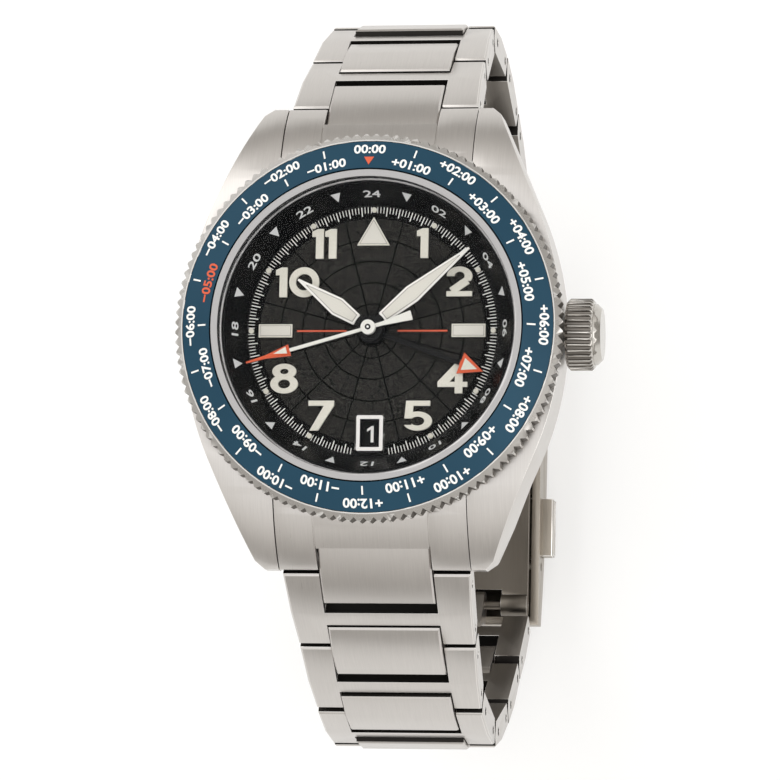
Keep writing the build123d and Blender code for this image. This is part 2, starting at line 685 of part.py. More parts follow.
def hour_hand():
    return turned_to(HOUR_ANGLE, lance_hand(HOUR_LENGTH, HOUR_BELLY, HOUR_BELLY_HALF, HOUR_Z, 2))


def minute_hand():
    return turned_to(MINUTE_ANGLE, lance_hand(MINUTE_LENGTH, MINUTE_BELLY, MINUTE_BELLY_HALF, MINUTE_Z, 1))


def gmt_hand():
    shaft = block(-GMT_HALF, GMT_HALF, 0, GMT_HEAD_BASE, GMT_Z, GMT_Z + HAND_THICK)
    head = plate([(-GMT_HEAD_HALF, GMT_HEAD_BASE), (GMT_HEAD_HALF, GMT_HEAD_BASE), (0, GMT_LENGTH)],
                 GMT_Z, GMT_Z + HAND_THICK)
    body = shaft + head + disc(HAND_HUB_R, GMT_Z, GMT_Z + HAND_THICK)
    return turned_to(GMT_ANGLE, hand_on_tube(body, GMT_Z, 3))


def seconds_hand():
    shaft = plate([(-SECONDS_HALF, 0), (SECONDS_HALF, 0), (SECONDS_HALF, ARROW_TIP),
                   (SECONDS_HALF / 2, SECONDS_LENGTH), (-SECONDS_HALF / 2, SECONDS_LENGTH),
                   (-SECONDS_HALF, ARROW_TIP)], SECONDS_Z, SECONDS_Z + HAND_THICK)
    arrow = plate([(-ARROW_HALF, ARROW_BASE), (ARROW_HALF, ARROW_BASE), (SECONDS_HALF, ARROW_TIP),
                   (-SECONDS_HALF, ARROW_TIP)], SECONDS_Z, SECONDS_Z + HAND_THICK)
    paddle = plate([(-SECONDS_HALF, 0), (SECONDS_HALF, 0), (PADDLE_ROOT_HALF, -PADDLE_START),
                    (PADDLE_HALF, -SECONDS_TAIL), (-PADDLE_HALF, -SECONDS_TAIL),
                    (-PADDLE_ROOT_HALF, -PADDLE_START)], SECONDS_Z, SECONDS_Z + HAND_THICK)
    hub = disc(SECONDS_HUB_R, SECONDS_Z, HUB_TOP_Z)
    pin = disc(ARBOR_R, PLATE_TOP_Z, SECONDS_Z)
    return turned_to(SECONDS_ANGLE, shaft + arrow + paddle + hub + pin)


# Crown and setting parts
def crown():
    body = Rot(0, 90, 0) * turned([
        (0, CROWN_INNER_X),
        (CROWN_R - CROWN_BREAK, CROWN_INNER_X),
        (CROWN_R, CROWN_INNER_X + CROWN_BREAK),
        (CROWN_R, CROWN_FLUTE_END_X - CROWN_BREAK),
        (CROWN_R - CROWN_BREAK, CROWN_FLUTE_END_X),
        (CROWN_CAP_R, CROWN_FLUTE_END_X),
        (CROWN_CAP_R, CROWN_CAP_X - CROWN_CAP_BREAK),
        (CROWN_CAP_R - CROWN_CAP_BREAK, CROWN_CAP_X),
        (0, CROWN_CAP_X),
    ])
    body = body - rod_x(CROWN_DISH_R, CROWN_INNER_X - OVERRUN, CROWN_INNER_X + CROWN_DISH_DEPTH, 0, 0)
    body = body - rod_x(STEM_R, CROWN_INNER_X, STEM_END_X, 0, 0)
    flute = rod_x(CROWN_FLUTE_R, CROWN_INNER_X - OVERRUN, CROWN_FLUTE_END_X, 0, CROWN_R)
    flutes = [Rot(n * 360 / CROWN_FLUTES, 0, 0) * flute for n in range(CROWN_FLUTES)]
    return Pos(0, 0, CROWN_AXIS_Z) * (body - flutes)


def winding_stem():
    body = rod_x(STEM_R, STEM_START_X, STEM_END_X, 0, CROWN_AXIS_Z)
    neck = rod_x(STEM_R + OVERRUN, STEM_NECK_X, STEM_NECK_X + STEM_NECK_LENGTH, 0, CROWN_AXIS_Z)
    return body - (neck - rod_x(STEM_NECK_R, 0, CROWN_CAP_X, 0, CROWN_AXIS_Z))


def crown_tube():
    body = rod_x(TUBE_R, TUBE_START_X, TUBE_END_X, 0, CROWN_AXIS_Z)
    return body - rod_x(TUBE_BORE_R, 0, CROWN_CAP_X, 0, CROWN_AXIS_Z)


def lever_box(gap):
    middle = STEM_NECK_X + STEM_NECK_LENGTH / 2
    half = LEVER_THICK / 2 + gap
    return block(middle - half, middle + half, -LEVER_WIDTH / 2 - gap, LEVER_WIDTH / 2 + gap,
                 CROWN_AXIS_Z - LEVER_LENGTH / 2 - gap, CROWN_AXIS_Z + LEVER_LENGTH / 2 + gap)


def setting_lever():
    return lever_box(0) - rod_x(STEM_NECK_R + PIN_GAP, 0, CROWN_CAP_X, 0, CROWN_AXIS_Z)


# Movement
def movement_plate():
    body = disc(PLATE_R, PLATE_LOW_Z, PLATE_TOP_Z)
    body = body + ring(PLATE_R, PLATE_SHOULDER_R, PLATE_TOP_Z, PLATE_SHOULDER_Z)
    slot_start = STEM_START_X - POCKET_GAP
    body = body - rod_x(STEM_R + POCKET_GAP, slot_start, PLATE_R + OVERRUN, 0, CROWN_AXIS_Z)
    for travel in (0, CROWN_TRAVEL):
        body = body - Pos(travel, 0, 0) * lever_box(POCKET_GAP)
    body = body - Pos(CROWN_TRAVEL / 2, 0, 0) * lever_box(POCKET_GAP)
    body = body - disc(BARREL_R + POCKET_GAP, PLATE_LOW_Z - OVERRUN, POCKET_FLOOR_Z, BARREL_X, BARREL_Y)
    body = body - disc(BALANCE_R + POCKET_GAP, PLATE_LOW_Z - OVERRUN, POCKET_FLOOR_Z, BALANCE_X, BALANCE_Y)
    body = body + disc(POST_R, PLATE_LOW_Z, POCKET_FLOOR_Z, BARREL_X, BARREL_Y)
    body = body + disc(POST_R, PLATE_LOW_Z, POCKET_FLOOR_Z, BALANCE_X, BALANCE_Y)
    body = body + disc(ROTOR_POST_R, ROTOR_Z, PLATE_LOW_Z)
    return body


def rotor():
    half = clock(90, ROTOR_R + OVERRUN)[0]
    web = disc(ROTOR_R, ROTOR_Z, ROTOR_Z + ROTOR_THICK)
    rim = ring(ROTOR_R, ROTOR_R - ROTOR_RIM, ROTOR_Z, ROTOR_Z + ROTOR_RIM_THICK)
    weight = (web + rim) & block(-half, half, -half, 0, 0, PLATE_TOP_Z)
    bearing = disc(ROTOR_BEARING_R, ROTOR_Z, ROTOR_Z + ROTOR_RIM_THICK)
    return weight + bearing - disc(ROTOR_POST_R + RUNNING_GAP, 0, PLATE_TOP_Z)


def mainspring_barrel():
    low = POCKET_FLOOR_Z - POCKET_GAP - BARREL_THICK
    body = disc(BARREL_R, low, low + BARREL_THICK)
    root = BARREL_R - BARREL_TOOTH
    half = pi * BARREL_R / BARREL_TEETH / 2
    notch = plate([(root, 0), (BARREL_R + half, 2 * half), (BARREL_R + half, -2 * half)],
                  low - OVERRUN, low + 2 * OVERRUN)
    body = body - [Rot(0, 0, n * 360 / BARREL_TEETH) * notch for n in range(BARREL_TEETH)]
    body = body - disc(POST_R + RUNNING_GAP, low - OVERRUN, low + 2 * OVERRUN)
    return Pos(BARREL_X, BARREL_Y, 0) * body


def balance_wheel():
    low = POCKET_FLOOR_Z - 2 * POCKET_GAP - BALANCE_THICK
    high = low + BALANCE_THICK
    body = ring(BALANCE_R, BALANCE_R - BALANCE_RIM, low, high)
    body = body + block(-BALANCE_R + BALANCE_RIM / 2, BALANCE_R - BALANCE_RIM / 2,
                        -BALANCE_SPOKE / 2, BALANCE_SPOKE / 2, low, high)
    body = body + disc(POST_HUB_R, low, high)
    return Pos(BALANCE_X, BALANCE_Y, 0) * (body - disc(POST_R + RUNNING_GAP, low - OVERRUN, high + OVERRUN))


# Bracelet. Each side is drawn in the plane of y and z for 12 o'clock, and mirrored for 6 o'clock.
def step_from(point, angle, length):
    return (point[0] + length * cos(radians(angle)), point[1] - length * sin(radians(angle)))


def link_plane(point, angle):
    # The first axis runs along the link, away from the case, and the second faces out from the wrist
    slope = radians(angle)
    return Plane(origin=(0, point[0], point[1]), x_dir=(0, cos(slope), -sin(slope)), z_dir=(1, 0, 0))


def to_side(side, shape):
    return shape if side > 0 else mirror(shape, Plane.XZ)


def chain(angles):
    # Pins of each H-link, with the angle of each link and of the centre link before it
    links = []
    pin = (SPRING_BAR_Y, SPRING_BAR_Z)
    before = FIRST_LINK_ANGLE
    for place, angle in enumerate(angles):
        span = FIRST_PIN_SPACING if place == 0 else CENTRE_PIN_SPACING
        centre_angle = FIRST_LINK_ANGLE if place == 0 else (before + angle) / 2
        near = step_from(pin, centre_angle, span)
        far = step_from(near, angle, H_LENGTH - H_NEAR_PIN - H_FAR_PIN)
        links.append({"start": pin, "centre_angle": centre_angle, "span": span,
                      "near": near, "angle": angle, "far": far})
        pin = far
        before = angle
    return links


def h_section():
    points = [
        (0, 0), (0, H_EDGE), (H_LENGTH / 2, H_RIDGE), (H_LENGTH, H_EDGE), (H_LENGTH, 0),
        (H_LENGTH - H_END_RELIEF, -LINK_HALF_THICK), (H_END_RELIEF, -LINK_HALF_THICK),
    ]
    return make_face(Polyline(*points, close=True))


def h_frame(half_start, half_end):
    # Local frame: length along X, out from the wrist along Y, across the wrist along Z
    body = extrude(h_section(), half_start, both=True)
    outline = [(0, half_start), (H_LENGTH, half_end), (H_LENGTH, -half_end), (0, -half_start)]
    cone = Rot(90, 0, 0) * extrude(make_face(Polyline(*outline, close=True)), H_LENGTH, both=True)
    body = body & cone
    outer = body.edges().filter_by(lambda e: e.center().Y > H_EDGE / 4)
    sides = outer.filter_by(lambda e: abs(e.center().Z) > half_end - LINK_BREAK)
    across_ends = outer.filter_by(lambda e: abs(e.center().Z) < LINK_BREAK)
    ends = across_ends.filter_by(lambda e: abs(e.center().X - H_LENGTH / 2) > H_LENGTH / 4)
    tops = sides.filter_by(lambda e: abs(e.tangent_at(0.5).X) > 0.7) + ends
    body = chamfer(tops, LINK_BREAK)
    slot = CENTRE_HALF_WIDTH + ARM_GAP
    for u0, u1 in ((-OVERRUN, H_BAR_START), (H_BAR_END, H_LENGTH + OVERRUN)):
        body = body - block(u0, u1, -LINK_HALF_THICK - OVERRUN, H_RIDGE + OVERRUN, -slot, slot)
    for u in (H_NEAR_PIN, H_LENGTH - H_FAR_PIN):
        body = body - Pos(u, 0, 0) * Cylinder(PIN_R, 2 * half_start + OVERRUN)
    return body


def h_link(half_start, half_end):
    half = half_end - PIN_RECESS
    pins = [Pos(u, 0, 0) * Cylinder(PIN_R, 2 * half) for u in (H_NEAR_PIN, H_LENGTH - H_FAR_PIN)]
    return [h_frame(half_start, half_end)] + pins


def centre_section(pins):
    nose = LINK_HALF_THICK
    left = Line((-nose, 0), (-nose, CENTRE_EDGE))
    top = Polyline((-nose, CENTRE_EDGE), (pins / 2, CENTRE_RIDGE), (pins + nose, CENTRE_EDGE))
    right = Line((pins + nose, CENTRE_EDGE), (pins + nose, 0))
    far = TangentArc((pins + nose, 0), (pins, -nose), tangent=(0, -1))
    low = Line((pins, -nose), (0, -nose))
    near = TangentArc((0, -nose), (-nose, 0), tangent=(-1, 0))
    return make_face([left, top, right, far, low, near])


def centre_link(pins, half, bores):
    body = extrude(centre_section(pins), half, both=True)
    outer = body.edges().filter_by(lambda e: e.center().Y > CENTRE_EDGE / 2)
    middle = outer.filter_by(lambda e: abs(e.center().X - pins / 2) < LINK_BREAK)
    ridge = middle.filter_by(lambda e: abs(e.center().Z) < half / 2)
    corners = outer.filter_by(lambda e: abs(e.tangent_at(0.5).Y) > 0.9)
    body = chamfer(outer - ridge - corners, LINK_BREAK)
    for u, radius in zip((0, pins), bores):
        body = body - Pos(u, 0, 0) * Cylinder(radius, 2 * half + OVERRUN)
    return body


def placed(point, angle, offset, shapes, side):
    place = link_plane(point, angle).location * Pos(-offset, 0, 0)
    return [to_side(side, place * shape) for shape in shapes]


def h_widths(place):
    widths = [H_HALF_WIDTH_START, H_HALF_WIDTH_AFTER_ONE, H_HALF_WIDTH]
    return widths[min(place, 2)], widths[min(place + 1, 2)]


def bracelet_side(side, name, links):
    bore = PIN_R + PIN_GAP
    for place, link in enumerate(links):
        number = place + 1
        first_bore = SPRING_BAR_R + PIN_GAP if place == 0 else bore
        centre = centre_link(link["span"], CENTRE_HALF_WIDTH, (first_bore, bore))
        centre_solids = placed(link["start"], link["centre_angle"], 0, [centre], side)
        nodes[f"centre_link_{name}_{number}"] = centre_solids
        frame = h_link(*h_widths(place))
        nodes[f"h_link_{name}_{number}"] = placed(link["near"], link["angle"], H_NEAR_PIN, frame, side)


def end_link(side, first):
    deck, slope = lug_line()
    low = Polyline(
        (LUG_TIP_Y, LUG_TIP_TOP_Z), (LUG_TIP_Y, END_LINK_LOW_Z), (0, END_LINK_LOW_Z), (0, CASE_TOP_Z)
    )
    half = LUG_GAP / 2 - END_LINK_GAP
    body = Pos(0, 0, -END_LINK_DROP) * across(make_face([deck, slope, low]), half)
    # Two fine grooves carry the sides of the middle link on towards the bezel
    slot = CENTRE_HALF_WIDTH + ARM_GAP
    below_grooves = Pos(0, 0, -END_LINK_GROOVE_DEPTH) * body
    half_groove = END_LINK_GROOVE_WIDTH / 2
    for x in (slot, -slot):
        groove = block(x - half_groove, x + half_groove, 0, LUG_TIP_Y, END_LINK_LOW_Z, CASE_TOP_Z)
        body = body - (groove - below_grooves)
    body = body - disc(CASE_WALL_R + END_LINK_GAP, END_LINK_LOW_Z - OVERRUN, CASE_TOP_Z + OVERRUN)
    body = body - rod_x(END_LINK_POCKET_R, -slot, slot, SPRING_BAR_Y, SPRING_BAR_Z)
    path = block(0, H_LENGTH, -END_LINK_POCKET_R, END_LINK_POCKET_R, -slot, slot)
    body = body - link_plane(first["start"], FIRST_LINK_ANGLE).location * path
    start = -H_NEAR_PIN - END_LINK_TO_H
    ahead = block(start, H_LENGTH, -H_LENGTH, H_LENGTH, -half - OVERRUN, half + OVERRUN)
    body = body - link_plane(first["near"], first["angle"]).location * ahead
    body = body - rod_x(SPRING_BAR_R + PIN_GAP, -LUG_GAP, LUG_GAP, SPRING_BAR_Y, SPRING_BAR_Z)
    return to_side(side, body)


def spring_bars():
    reach = LUG_GAP / 2 + SPRING_BAR_IN_LUG
    return [rod_x(SPRING_BAR_R, -reach, reach, side * SPRING_BAR_Y, SPRING_BAR_Z) for side in (1, -1)]


# Clasp, placed from the ends of the two chains of links
def chain_end(links, angle, spacing):
    return step_from(links[-1]["far"], angle, spacing)


LINKS_12 = chain(H_ANGLES_12)
LINKS_6 = chain(H_ANGLES_6)
LAST_PIN_SPACING = 5.4
LAST_LINK_ANGLE = 132.0
COVER_TIP_Y, COVER_TIP_Z = chain_end(LINKS_12, LAST_LINK_ANGLE, LAST_PIN_SPACING)
TONGUE_PIN_SPACING = 4.02
TONGUE_ANGLE = 141.3
TONGUE_END_Y, LEAF_AXIS_Z = chain_end(LINKS_6, TONGUE_ANGLE, TONGUE_PIN_SPACING)
LEAF_AXIS_Y = -TONGUE_END_Y
TONGUE_HALF = 3.5
COVER_SIDE_PROUD = 0.6
COVER_HALF_WIDTH = H_HALF_WIDTH + COVER_SIDE_PROUD
COVER_WALL = 0.9
LEAF_SIDE_GAP = 0.15
LEAF_HALF_WIDTH = COVER_HALF_WIDTH - COVER_WALL - LEAF_SIDE_GAP
BARREL_LENGTH = 3.0
BARREL_IN_X = LEAF_HALF_WIDTH - BARREL_LENGTH
BARREL_OUT_R = 1.25
LEAF_RISE = 0.1
LEAF_FACE_Z = LEAF_AXIS_Z + LEAF_RISE
LEAF_THICK = 1.0
FOLD_BEFORE_TIP = 4.44
FOLD_Y = COVER_TIP_Y - FOLD_BEFORE_TIP
FOLD_DROP = 1.6
FOLD_Z = LEAF_AXIS_Z - FOLD_DROP
KNUCKLE_R = 1.1
KNUCKLE_HALF = 3.8
KNUCKLE_WIDTH = 2.6
KNUCKLE_OUT = KNUCKLE_HALF + KNUCKLE_WIDTH
KNUCKLE_GAP = 0.12
COVER_PIN_AHEAD = 4.8
COVER_PIN_Y = LEAF_AXIS_Y + COVER_PIN_AHEAD
COVER_PIN_DROP = 3.7
COVER_PIN_Z = LEAF_AXIS_Z - COVER_PIN_DROP
MIDDLE_HALF_WIDTH = 6.0
MIDDLE_THICK = 0.9
COVER_RIM_DROP = 1.5
COVER_RIM_Z = LEAF_AXIS_Z - COVER_RIM_DROP
COVER_PAST_AXIS = 2.1
COVER_END_Y = LEAF_AXIS_Y - COVER_PAST_AXIS
COVER_END_DROP = 4.2
COVER_END_Z = LEAF_AXIS_Z - COVER_END_DROP
COVER_DEPTH = 8.2
COVER_LOW_Z = LEAF_AXIS_Z - COVER_DEPTH
COVER_OPEN_DROP = 3.8
COVER_OPEN_Z = COVER_TIP_Z - COVER_OPEN_DROP
COVER_BEYOND_PIN = 2.6
COVER_EAR_R = 1.6
BUTTON_AHEAD = 4.6
BUTTON_Y = COVER_PIN_Y + BUTTON_AHEAD
BUTTON_DROP = 1.0
BUTTON_Z = COVER_PIN_Z - BUTTON_DROP
BUTTON_LENGTH = 6.7
BUTTON_HEIGHT = 2.2
BUTTON_PROUD = 1.4
BUTTON_OUT_X = COVER_HALF_WIDTH + BUTTON_PROUD
BUTTON_DEPTH = 0.85
BUTTON_IN_X = COVER_HALF_WIDTH - COVER_WALL - BUTTON_DEPTH
BUTTON_FLANGE = 0.5
BUTTON_FLANGE_LIP = 0.5
BUTTON_GAP = 0.05
BUTTON_RIM = 0.45
BUTTON_DISH = 0.15
BUTTON_TRAVEL = 0.8


def pair(shape):
    return [shape, mirror(shape, Plane.YZ)]


def tongue():
    # From the last H-link on the 6 side to the barrels of the inner leaf
    bore = PIN_R + PIN_GAP
    body = centre_link(TONGUE_PIN_SPACING, TONGUE_HALF, (bore, bore))
    return placed(LINKS_6[-1]["far"], TONGUE_ANGLE, 0, [body], -1)


def last_link():
    # On the 12 side, with the spring bar that joins it to the cover drawn in at its end
    bore = PIN_R + PIN_GAP
    body = centre_link(LAST_PIN_SPACING, CENTRE_HALF_WIDTH, (bore, bore))
    bar = Pos(LAST_PIN_SPACING, 0, 0) * Cylinder(PIN_R, 2 * CENTRE_HALF_WIDTH)
    return placed(LINKS_12[-1]["far"], LAST_LINK_ANGLE, 0, [body, bar], 1)


def inner_leaf():
    low = LEAF_FACE_Z - LEAF_THICK
    start = LEAF_AXIS_Y + LINK_HALF_THICK + KNUCKLE_GAP * 2
    end = FOLD_Y - KNUCKLE_R - KNUCKLE_GAP
    body = block(-LEAF_HALF_WIDTH, LEAF_HALF_WIDTH, start, end, low, LEAF_FACE_Z)
    for side in (1, -1):
        inner = side * BARREL_IN_X
        outer = side * LEAF_HALF_WIDTH
        x0, x1 = sorted((inner, outer))
        body = body + block(x0, x1, LEAF_AXIS_Y, start, low, LEAF_FACE_Z)
        body = body + rod_x(BARREL_OUT_R, x0, x1, LEAF_AXIS_Y, LEAF_AXIS_Z)
        k0, k1 = sorted((side * (KNUCKLE_HALF + KNUCKLE_GAP), side * KNUCKLE_OUT))
        body = body + block(k0, k1, end, FOLD_Y, low, LEAF_FACE_Z)
        body = body + rod_x(KNUCKLE_R, k0, k1, FOLD_Y, FOLD_Z)
    bore = PIN_R + PIN_GAP / 3
    body = body - rod_x(bore, -LEAF_HALF_WIDTH, LEAF_HALF_WIDTH, LEAF_AXIS_Y, LEAF_AXIS_Z)
    body = body - rod_x(bore, -LEAF_HALF_WIDTH, LEAF_HALF_WIDTH, FOLD_Y, FOLD_Z)
    lug_pin = rod_x(PIN_R, -LEAF_HALF_WIDTH + PIN_GAP, LEAF_HALF_WIDTH - PIN_GAP, LEAF_AXIS_Y, LEAF_AXIS_Z)
    fold_pin = rod_x(PIN_R, -KNUCKLE_OUT, KNUCKLE_OUT, FOLD_Y, FOLD_Z)
    return [body, lug_pin, fold_pin]


def middle_leaf():
    length = hypot(FOLD_Y - COVER_PIN_Y, FOLD_Z - COVER_PIN_Z)
    angle = 180 - degrees(atan2(FOLD_Z - COVER_PIN_Z, FOLD_Y - COVER_PIN_Y))
    half = MIDDLE_THICK / 2
    body = block(0, length, -half, half, -MIDDLE_HALF_WIDTH, MIDDLE_HALF_WIDTH)
    clear = KNUCKLE_R + 2 * KNUCKLE_GAP
    body = body - Cylinder(clear, 2 * MIDDLE_HALF_WIDTH + OVERRUN)
    body = body - Pos(length, 0, 0) * Cylinder(KNUCKLE_R / 2, 2 * MIDDLE_HALF_WIDTH)
    body = body + block(0, clear + MIDDLE_THICK, -half, half, -KNUCKLE_HALF, KNUCKLE_HALF)
    body = body + Cylinder(KNUCKLE_R, 2 * KNUCKLE_HALF)
    body = body + Pos(length, 0, 0) * Cylinder(KNUCKLE_R, 2 * MIDDLE_HALF_WIDTH)
    for u in (0, length):
        body = body - Pos(u, 0, 0) * Cylinder(PIN_R + PIN_GAP, 2 * COVER_HALF_WIDTH)
    return link_plane((FOLD_Y, FOLD_Z), angle).location * body


def cover_section(lift):
    # The outer outline, or with a lift the hollow inside it
    start = COVER_END_Y + lift
    end = COVER_TIP_Y + COVER_BEYOND_PIN + (OVERRUN if lift else 0)
    top = COVER_RIM_Z + (OVERRUN if lift else 0)
    middle = (COVER_END_Y + COVER_TIP_Y + COVER_BEYOND_PIN) / 2
    floor = ThreePointArc(
        (start, COVER_END_Z + lift), (middle, COVER_LOW_Z + lift), (end, COVER_OPEN_Z + lift)
    )
    sides = Polyline((end, COVER_OPEN_Z + lift), (end, top), (start, top), (start, COVER_END_Z + lift))
    return make_face([floor, sides])


def button_opening(gap, travel=0):
    half_y = BUTTON_LENGTH / 2 + gap
    half_z = BUTTON_HEIGHT / 2 + gap
    return block(BUTTON_IN_X - travel, BUTTON_OUT_X, BUTTON_Y - half_y, BUTTON_Y + half_y,
                 BUTTON_Z - half_z, BUTTON_Z + half_z)


def clasp_cover():
    inside = COVER_HALF_WIDTH - COVER_WALL
    body = across(cover_section(0), COVER_HALF_WIDTH)
    for ear in pair(rod_x(COVER_EAR_R, inside, COVER_HALF_WIDTH, COVER_TIP_Y, COVER_TIP_Z)):
        body = body + ear
    foot = block(inside, COVER_HALF_WIDTH, COVER_TIP_Y - COVER_EAR_R, COVER_TIP_Y + COVER_EAR_R,
                 COVER_RIM_Z - COVER_WALL, COVER_TIP_Z)
    for web in pair(foot):
        body = body + web
    body = body - across(cover_section(COVER_WALL), inside)
    for hole in pair(button_opening(BUTTON_GAP, BUTTON_TRAVEL + BUTTON_GAP)):
        body = body - hole
    for y, z in ((COVER_PIN_Y, COVER_PIN_Z), (COVER_TIP_Y, COVER_TIP_Z)):
        body = body - rod_x(PIN_R + PIN_GAP / 3, -BUTTON_OUT_X, BUTTON_OUT_X, y, z)
    reach = COVER_HALF_WIDTH - PIN_RECESS / 2
    return [body, rod_x(PIN_R, -reach, reach, COVER_PIN_Y, COVER_PIN_Z)]


def clasp_button():
    body = button_opening(0)
    face = body.faces().sort_by(Axis.X)[-1]
    body = chamfer(face.edges(), LINK_BREAK)
    half_y = BUTTON_LENGTH / 2 - BUTTON_RIM
    half_z = BUTTON_HEIGHT / 2 - BUTTON_RIM
    dish = block(BUTTON_OUT_X - BUTTON_DISH, BUTTON_OUT_X + OVERRUN, BUTTON_Y - half_y, BUTTON_Y + half_y,
                 BUTTON_Z - half_z, BUTTON_Z + half_z)
    inside = COVER_HALF_WIDTH - COVER_WALL
    lip_y = BUTTON_LENGTH / 2 + BUTTON_FLANGE_LIP
    lip = block(inside - BUTTON_FLANGE - BUTTON_GAP, inside - BUTTON_GAP, BUTTON_Y - lip_y, BUTTON_Y + lip_y,
                BUTTON_Z - BUTTON_HEIGHT / 4, BUTTON_Z + BUTTON_HEIGHT / 4)
    return body - dish + lip


def watch_head():
    nodes["mid_case"] = mid_case()
    nodes["case_back"] = case_back()
    nodes["case_gasket"] = case_gasket()
    nodes["bezel"] = bezel()
    nodes["bezel_insert"] = bezel_insert()
    nodes["bezel_click_spring"] = bezel_click_spring()
    nodes["crystal"] = crystal()
    nodes["hour_ring"] = hour_ring()
    nodes["dial"] = dial()
    nodes["hour_markers"] = hour_markers()
    nodes["date_frame"] = date_frame()
    nodes["date_disc"] = date_disc()
    nodes["hour_hand"] = hour_hand()
    nodes["minute_hand"] = minute_hand()
    nodes["seconds_hand"] = seconds_hand()
    nodes["gmt_hand"] = gmt_hand()
    nodes["crown"] = crown()
    nodes["winding_stem"] = winding_stem()
    nodes["crown_tube"] = crown_tube()
    nodes["setting_lever"] = setting_lever()
    nodes["movement_plate"] = movement_plate()
    nodes["rotor"] = rotor()
    nodes["mainspring_barrel"] = mainspring_barrel()
    nodes["balance_wheel"] = balance_wheel()


def bracelet_and_clasp():
    bracelet_side(1, "12", LINKS_12)
    bracelet_side(-1, "6", LINKS_6)
    nodes["end_link_12"] = end_link(1, LINKS_12[0])
    nodes["end_link_6"] = end_link(-1, LINKS_6[0])
    nodes["spring_bars"] = spring_bars()
    nodes["clasp_link_12"] = last_link()
    nodes["clasp_link_6"] = tongue()
    nodes["clasp_inner_leaf"] = inner_leaf()
    nodes["clasp_middle_leaf"] = middle_leaf()
    nodes["clasp_cover"] = clasp_cover()
    nodes["clasp_button_right"] = clasp_button()
    nodes["clasp_button_left"] = mirror(clasp_button(), Plane.YZ)


def solids_of(shape):
    if isinstance(shape, (list, tuple)):
        return [solid for one in shape for solid in solids_of(one)]
    return list(shape.solids())


def write_parts():
    os.makedirs("parts", exist_ok=True)
    for name, shape in nodes.items():
        solids = solids_of(shape)
        export_step(solids[0] if len(solids) == 1 else Compound(solids), f"parts/{name}.step")


watch_head()
bracelet_and_clasp()
write_parts()
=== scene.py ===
# %% [markdown]
# A steel world time watch, dressed over its CAD frame.
# The CAD model holds every size, so Blender only loads it, gives the steel its polished edges,
# prints the dial and the bezel, and lights the whole like a product shot.

# %% The frame
import json
import bpy
from math import radians, cos, sin, tan, atan2, hypot, pi, degrees
from mathutils import Vector, Matrix

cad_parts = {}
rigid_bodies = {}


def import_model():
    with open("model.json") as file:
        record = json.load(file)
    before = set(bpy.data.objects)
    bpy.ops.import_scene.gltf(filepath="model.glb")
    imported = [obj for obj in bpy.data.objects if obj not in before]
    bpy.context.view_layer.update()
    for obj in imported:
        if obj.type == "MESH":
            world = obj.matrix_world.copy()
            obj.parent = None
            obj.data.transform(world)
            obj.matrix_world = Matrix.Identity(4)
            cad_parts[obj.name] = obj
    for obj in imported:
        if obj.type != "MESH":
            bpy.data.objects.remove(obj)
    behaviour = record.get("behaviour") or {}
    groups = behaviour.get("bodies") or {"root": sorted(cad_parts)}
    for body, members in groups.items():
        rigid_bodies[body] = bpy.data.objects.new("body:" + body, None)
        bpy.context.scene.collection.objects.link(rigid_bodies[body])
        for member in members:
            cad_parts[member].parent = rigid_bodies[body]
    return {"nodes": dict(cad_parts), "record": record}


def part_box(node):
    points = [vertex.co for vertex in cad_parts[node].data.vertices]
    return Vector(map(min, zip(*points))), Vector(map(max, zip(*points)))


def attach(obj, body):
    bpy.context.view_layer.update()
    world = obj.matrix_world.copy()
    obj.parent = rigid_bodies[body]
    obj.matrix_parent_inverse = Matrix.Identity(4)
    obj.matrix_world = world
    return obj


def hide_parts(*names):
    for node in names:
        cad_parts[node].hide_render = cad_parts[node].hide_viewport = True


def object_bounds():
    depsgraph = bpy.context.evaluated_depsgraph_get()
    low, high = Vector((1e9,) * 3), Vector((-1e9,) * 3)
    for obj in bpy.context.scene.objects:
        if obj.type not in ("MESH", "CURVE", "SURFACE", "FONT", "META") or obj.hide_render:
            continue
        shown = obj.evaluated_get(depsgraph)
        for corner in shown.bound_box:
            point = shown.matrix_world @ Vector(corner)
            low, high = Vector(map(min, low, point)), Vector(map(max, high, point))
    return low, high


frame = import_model()
cad_low, cad_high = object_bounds()
nodes = frame["nodes"]
MM = 0.001
home = {node: body for body, held in frame["record"]["behaviour"]["bodies"].items() for node in held}
scene = bpy.context.scene
print("frame:", len(nodes), "nodes, box", [round(v / MM, 1) for v in cad_high - cad_low], "mm")

# %% [markdown]
# Colours are picked as sRGB hex values, because that is what a colour picker shows.
# A shader counts in linear light, so one function turns them. One more function adds a node,
# sets it up and links it, which keeps each material below as short as its description.

# %% Colour and node helpers
def linear(code, alpha=1.0):
    """An sRGB hex code as the linear colour and alpha that a shader takes."""
    parts = [int(code[i:i + 2], 16) / 255 for i in (0, 2, 4)]
    return tuple(p / 12.92 if p <= 0.04045 else ((p + 0.055) / 1.055) ** 2.4 for p in parts) + (alpha,)


def add_node(tree, kind, inputs=None, **settings):
    """A node with its settings; each input is a value or the socket that it is linked from."""
    node = tree.nodes.new(kind)
    for name, value in settings.items():
        setattr(node, name, value)
    for key, value in (inputs or {}).items():
        if isinstance(value, bpy.types.NodeSocket):
            tree.links.new(value, node.inputs[key])
        else:
            node.inputs[key].default_value = value
    return node


def new_material(name):
    material = bpy.data.materials.new(name)
    material.use_nodes = True
    tree = material.node_tree
    shader = tree.nodes["Principled BSDF"]
    return material, tree, shader


def math(tree, operation, a, b=None, c=None):
    inputs = {i: v for i, v in enumerate((a, b, c)) if v is not None}
    return add_node(tree, "ShaderNodeMath", inputs, operation=operation).outputs[0]


print("white is", linear("FFFFFF")[:3])

